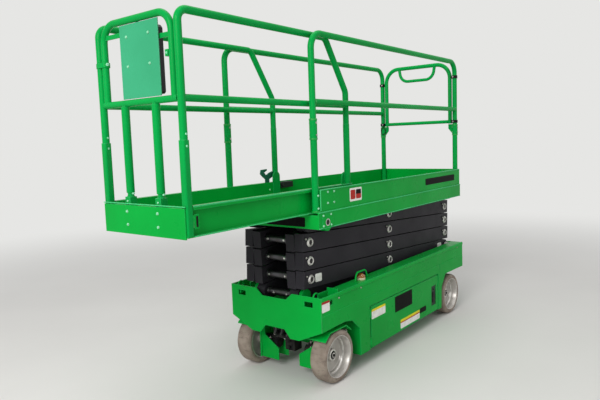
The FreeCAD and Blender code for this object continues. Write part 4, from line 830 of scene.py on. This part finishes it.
clamps, nuts = [], []
for side, z in ((1, 1.775), (-1, 1.775), (1, 2.180), (-1, 2.163)):
    low_y, high_y = sorted((side * 0.3535, side * 0.3575))
    clamps += [hollow([(0.0222, z - 0.013), (0.0262, z - 0.013), (0.0262, z + 0.013), (0.0222, z + 0.013)],
                      (REAR_POST_X, side * RAIL_Y), "Z", 24),
               block((REAR_POST_X + 0.012, low_y, z - 0.011), (REAR_POST_X + 0.034, high_y, z + 0.011))]
    nuts.append(bolt(REAR_POST_X + 0.0262, side * (RAIL_Y - 0.008), z, "+X", 0.0068))
piece("gate_clamps", "platform", "black_steel", BLACK, *clamps, bevel=0.001)
piece("gate_clamp_bolts", "platform", "bare_steel", SCREWS, *nuts)
LOOP_Y = -0.362
loop = [(REAR_POST_X + 0.030, y, z) for y, z in arc((LOOP_Y, 1.712), (0.026, 0.036), 90, 40, 9)]
tube("gate_ring", "platform", "black_steel", BLACK, 0.0035, (REAR_POST_X + 0.022, LOOP_Y, 1.765), *loop,
     (REAR_POST_X + 0.022, LOOP_Y, 1.745))


# Deck extension
# A sliding floor tray between two deep side channels, with its own rails, toe board and a foot lock
# that drops into the platform floor. The two middle posts of its front stand in sleeves.

wear(GREEN, "extension_deck")
wear(RAIL_GREEN, "extension_guard_rails", "extension_front_rail")
HOOP_X, MIDDLE_POSTS, CHANNEL_REAR_X, CHANNEL_FRONT_X = 1.660, (-0.130, 0.130), 0.174, 1.6375
piece("extension_chequers", "extension", "deck_steel", GREEN, *chequers(0.200, 40, 1.188))
for hand, side in HANDS:
    # Pale strips on the channels' top and bottom flanges are painted highlight.
    piece("channel_edges_" + hand, "extension", "green_paint", EDGE_LIGHT_GREEN,
          *[block((CHANNEL_REAR_X, 0.3490, low), (CHANNEL_FRONT_X, 0.3520, high))
            for low, high in ((1.3325, 1.3405), (1.1800, 1.1865))], side=side, bevel=0.0012)
    piece("channel_lips_" + hand, "extension", "green_paint", GREEN,
          block((CHANNEL_REAR_X, 0.3480, 1.3180), (CHANNEL_FRONT_X, 0.3508, 1.3330)), side=side, bevel=0.0012)
    piece("extension_bolts_" + hand, "extension", "green_paint", BOLT_GLINT_ENAMEL,
          *[bolt(x, 0.318, z, "-Y", 0.0075) for x in (0.215, 1.090) for z in (1.232, 1.292)],
          *[turned([(0.0060, 0.3080), (0.0060, 0.3540), (0.0045, 0.3552)], (HOOP_X, z), "Y", 14)
            for z in (1.640, 1.700)],
          *[bolt(x, 0.318, z, "-Y", 0.0070) for x, z in ((0.287, 1.284), (0.210, 1.316), (0.176, 1.274))], side=side)
piece("toe_board_bolts", "extension", "green_paint", BOLT_GLINT_ENAMEL,
      *[bolt(1.6898, y, z, "+X", 0.0078) for y in MIDDLE_POSTS for z in (1.296, 1.224)])
board_front, board_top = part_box("extension_deck")[1][0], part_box("extension_deck")[1][2]
# Pale strip along the toe board's top front edge: painted highlight.
piece("toe_board_edge", "extension", "green_paint", EDGE_LIGHT_GREEN,
      block((board_front - 0.0035, -0.3470, board_top - 0.0045), (board_front + 0.0004, 0.3470, board_top + 0.0012)))
sleeves, fixings, holes = [], [], []
for y in MIDDLE_POSTS:
    sleeves += [hollow([(0.0172, 1.398), (0.0215, 1.396), (0.0222, 1.399), (0.0222, 1.860), (0.0172, 1.862)],
                       (HOOP_X, y), "Z", 32),
                hollow([(0.0172, 1.374), (0.0205, 1.374), (0.0205, 1.379), (0.0172, 1.381)], (HOOP_X, y), "Z", 24)]
    fixings += [turned([(0.0062, y + 0.0150), (0.0062, y + 0.0285), (0.0045, y + 0.0295)], (HOOP_X, 1.392), "Y", 6),
                bolt(1.6820, y, 1.352, "+X", 0.0055)]
    holes.append(turned([(0.0060, y - 0.0200), (0.0060, y - 0.0226)], (HOOP_X + 0.004, 1.444), "Y", 16))
piece("post_sleeves", "extension", "green_paint", RAIL_GREEN, *sleeves, bevel=0.0006)
piece("post_bolts", "extension", "green_paint", BOLT_GLINT_ENAMEL, *fixings)
# Black discs on the sleeves: painted shade in the pin holes.
piece("post_pin_holes", "extension", "black_steel", BLACK, *holes)
piece("lock_plates", "extension", "green_paint", GREEN,
      both(block((1.6040, 0.3496, 1.2220), (1.6365, 0.3514, 1.2970))), bevel=0.0008)
# Black blocks on the lock plates: painted shade in the slots.
piece("lock_slots", "extension", "black_steel", BLACK,
      both(block((1.6120, 0.3500, 1.2310), (1.6250, 0.3522, 1.2870))))
piece("foot_lock_lever", "extension", "green_paint",
      sprayed_enamel("sprayed_teal_enamel", "#2A7A60", "#1E5F4A", "#63B396", worn=0.9),
      slab([(0.3614, 1.4395), (0.2941, 1.4426), (0.2948, 1.4310), (0.3262, 1.4171), (0.3057, 1.3954),
            (0.2695, 1.4134), (0.2332, 1.4228), (0.2190, 1.3983), (0.2406, 1.3762), (0.2700, 1.3640),
            (0.2700, 1.3395), (0.3150, 1.3395), (0.3150, 1.3660), (0.3412, 1.3834), (0.3697, 1.4084)],
           -0.341, -0.332, "Y"), bevel=0.0015)
piece("slide_stops", "platform", "box_black", BLACK_ABS,
      both(block((-0.045, 0.357, 1.280), (0.108, 0.3995, 1.327)),
           turned([(0.012, 0.3565), (0.012, 0.3535), (0.010, 0.3530)], (0.085, 1.303), "Y", 20)), bevel=0.003)


# Control station
# A green plate on the front hoop, and behind it the black control box: a case with a back shell. The stop
# button and the switches are on the face towards the deck, and the joystick stands on the top.

# The control plate's green is made paler and bluer as a painted reflection of the pale sky.
SKY_PALED_GREEN = sprayed_enamel("green_enamel_with_painted_sky_reflection", "#3DA577", "#389C6F", "#7AD3A8", gloss=0.3, dusty=0.1)
wear(SKY_PALED_GREEN, "control_plate")
PANEL_X, STOP = 1.6065, (0.094, 2.180)
piece("control_box_case", "extension", "box_black", BLACK_ABS,
      slab([(-0.104, 1.912), (0.150, 1.912), (0.160, 1.922), (0.160, 2.244), (0.146, 2.2605), (-0.100, 2.2605),
            (-0.114, 2.246), (-0.114, 1.922)], 1.6105, 1.6450, "X"), bevel=0.004, replaces=["control_box"])
piece("control_plate_bolts", "extension", "green_paint", BOLT_GLINT_ENAMEL,
      *[bolt(1.667, y, z, "+X", 0.0070) for y in (-0.071, 0.112) for z in (2.221, 2.067)])
piece("control_panel", "extension", "box_black", moulded_abs("slate_abs", "#2C2F33", "#3E4145"),
      block((1.6060, -0.098, 1.935), (1.6115, 0.134, 2.238)),
      *[block((1.5990, y, 2.075), (PANEL_X, y + 0.034, 2.125)) for y in (-0.085, -0.035, 0.015)],
      turned([(0.016, PANEL_X), (0.016, 1.5960), (0.006, 1.5955), (0.006, 1.5840)], (STOP[0], 2.000), "X", 24),
      block((1.6120, -0.085, 2.2590), (1.6440, 0.121, 2.2680)), bevel=0.0025)
piece("box_back_shell", "extension", "box_black", BLACK_ABS,
      block((1.6440, -0.108, 1.918), (1.6605, 0.158, 2.252)), bevel=0.010)
piece("stop_button", "extension", "box_black", RED_ABS,
      turned([(0.010, PANEL_X), (0.010, 1.5920), (0.021, 1.5895), (0.022, 1.5830), (0.018, 1.5780),
              (0.006, 1.5765)], STOP, "X", 28))
piece("stop_button_ring", "extension", "box_black", YELLOW_ABS,
      turned([(0.028, PANEL_X), (0.028, 1.6040), (0.026, 1.6032)], STOP, "X", 32))
piece("joystick", "extension", "box_black", BLACK_ABS,
      turned([(0.0155, 2.2670), (0.0160, 2.2720), (0.0130, 2.2755), (0.0140, 2.2800), (0.0110, 2.2835),
              (0.0118, 2.2870), (0.0085, 2.2900), (0.0050, 2.2920), (0.0050, 2.2960), (0.0110, 2.3000),
              (0.0130, 2.3120), (0.0120, 2.3240), (0.0070, 2.3300)], (1.628, -0.030), "Z", 32))
BAND_R = (0.0245, 0.0245)
piece("hoop_clamps", "extension", "green_paint", RAIL_GREEN,
      slab(arc((HOOP_X, -0.285), BAND_R, 0, 20, 10) + arc((HOOP_X, -0.331), BAND_R, 180, 20, 10), 2.083, 2.110, "Z"),
      block((1.6440, 0.2480, 2.0840), (1.6790, 0.2720, 2.1180)), bevel=0.0015)
piece("clamp_bolts", "extension", "green_paint", BOLT_GLINT_ENAMEL,
      turned([(0.0055, -0.2620), (0.0055, -0.2540), (0.0090, -0.2535), (0.0090, -0.2460), (0.0065, -0.2440)],
             (HOOP_X + 0.010, 2.098), "Y", 6), turned([(0.0065, 1.6785), (0.0065, 1.6800)], (0.260, 2.101), "X", 16))


# Signs
# Vinyl stickers with rounded corners, left blank: a white or black field, some under a yellow or
# red head. They are pressed on the side plates, the doors, the arms and the platform.

def printed_vinyl(name, colour, faded, sheen=0.15):
    """Calendered vinyl film: even satin colour, a little faded and dusty in patches of 30 mm."""
    material, tree = blank_material(name)
    place = add(tree, "TexCoord", out="Object")
    clouds = add(tree, "TexNoise", {"Vector": place, "Scale": grain(30), "Detail": 4})
    fading = add(tree, "MapRange", {"Value": clouds, "From Min": 0.45, "From Max": 0.7})
    ripples = add(tree, "TexNoise", {"Vector": place, "Scale": grain(12), "Detail": 2})
    bump = add(tree, "Bump", {"Height": ripples, "Strength": 0.1, "Distance": 0.0002})
    finish(tree, add(tree, "Mix", {"Factor": fading, "A": colour, "B": faded}), 0.5, bump, Specular_IOR_Level=sheen)
    return material


WHITE = printed_vinyl("white_vinyl", "#F0F0EA", "#DFDED6")
BLACK_FILM = printed_vinyl("black_vinyl", "#060706", "#0E0F0E", 0.05)
YELLOW = printed_vinyl("yellow_vinyl", "#E8DC20", "#DCCB3A")
RED = printed_vinyl("red_vinyl", "#B3261E", "#A33A30")
ARM_SLOPE = RISE / SPAN
CUT_CORNER = 0.006
SIGNS = [
    # name, body, face y, front x, rear x, low z, high z, slope, hands, films from top to bottom with shares
    ("corner_sign", "chassis", SKIN_Y, 0.650, 0.562, 0.532, 0.602, 0, HANDS, ((0.22, RED), (0.78, WHITE))),
    ("front_door_sign", "tray", SKIN_Y, 0.036, -0.165, 0.325, 0.398, 0, HANDS, ((0.24, YELLOW), (0.76, WHITE))),
    ("middle_door_sign", "tray", SKIN_Y, -0.316, -0.605, 0.283, 0.408, 0, HANDS, ((1.0, BLACK_FILM),)),
    ("low_door_sign", "tray", SKIN_Y, -0.403, -0.736, 0.128, 0.201, 0, HANDS,
     ((0.26, YELLOW), (0.12, RED), (0.62, WHITE))),
    ("rear_door_sign", "tray", SKIN_Y, -0.742, -0.860, 0.163, 0.207, 0, HANDS, ((1.0, BLACK_FILM),)),
    ("front_arm_sign", "outer_arm_1", ARM_FACE_Y, 0.517, 0.443, 0.690, 0.746, ARM_SLOPE, HANDS[:1], ((1.0, WHITE),)),
    ("rear_arm_sign", "outer_arm_1", ARM_FACE_Y, -1.410, -1.495, 0.590, 0.642, ARM_SLOPE, HANDS[:1], ((1.0, WHITE),)),
    ("front_panel_sign", "platform", 0.4060, 0.294, 0.141, 1.222, 1.313, 0, HANDS, ((1.0, WHITE),)),
    ("panel_sign_red", "platform", 0.4067, 0.284, 0.224, 1.236, 1.300, 0, HANDS, ((1.0, RED),)),
    ("panel_sign_black", "platform", 0.4067, 0.216, 0.151, 1.236, 1.300, 0, HANDS, ((0.5, BLACK_FILM), (0.5, RED))),
    ("rear_panel_sign", "platform", 0.4060, -0.868, -1.465, 1.237, 1.292, 0, HANDS, ((1.0, BLACK_FILM),)),
]
for name, body, face, front_x, rear_x, low_z, high_z, slope, hands, films in SIGNS:
    middle = (front_x + rear_x) / 2
    for hand, side in hands:
        top = high_z
        for k, (share, film) in enumerate(films):
            bottom = top - share * (high_z - low_z)
            upper = CUT_CORNER if k == 0 else 0.0
            lower = CUT_CORNER if k == len(films) - 1 else 0.0
            corners = [(rear_x + lower, bottom), (front_x - lower, bottom), (front_x, bottom + lower),
                       (front_x, top - upper), (front_x - upper, top), (rear_x + upper, top), (rear_x, top - upper),
                       (rear_x, bottom + lower)]
            outline = [(x, z + slope * (x - middle)) for i, (x, z) in enumerate(corners) if (x, z) != corners[i - 1]]
            piece("%s_%s_%d" % (name, hand, k + 1), "tray_" + hand if body == "tray" else body,
                  "rim_silver" if film is WHITE else "box_black", film,
                  slab(outline, face - 0.0004, face + 0.0007, "Y"), side=side)
            top = bottom
piece("platform_front_sign", "platform", "box_black", BLACK_FILM,
      slab([(-0.025, 1.092), (0.295, 1.092), (0.300, 1.097), (0.300, 1.150), (0.295, 1.155), (-0.025, 1.155)],
           DECK_FRONT_X - 0.0004, DECK_FRONT_X + 0.0007, "X"))
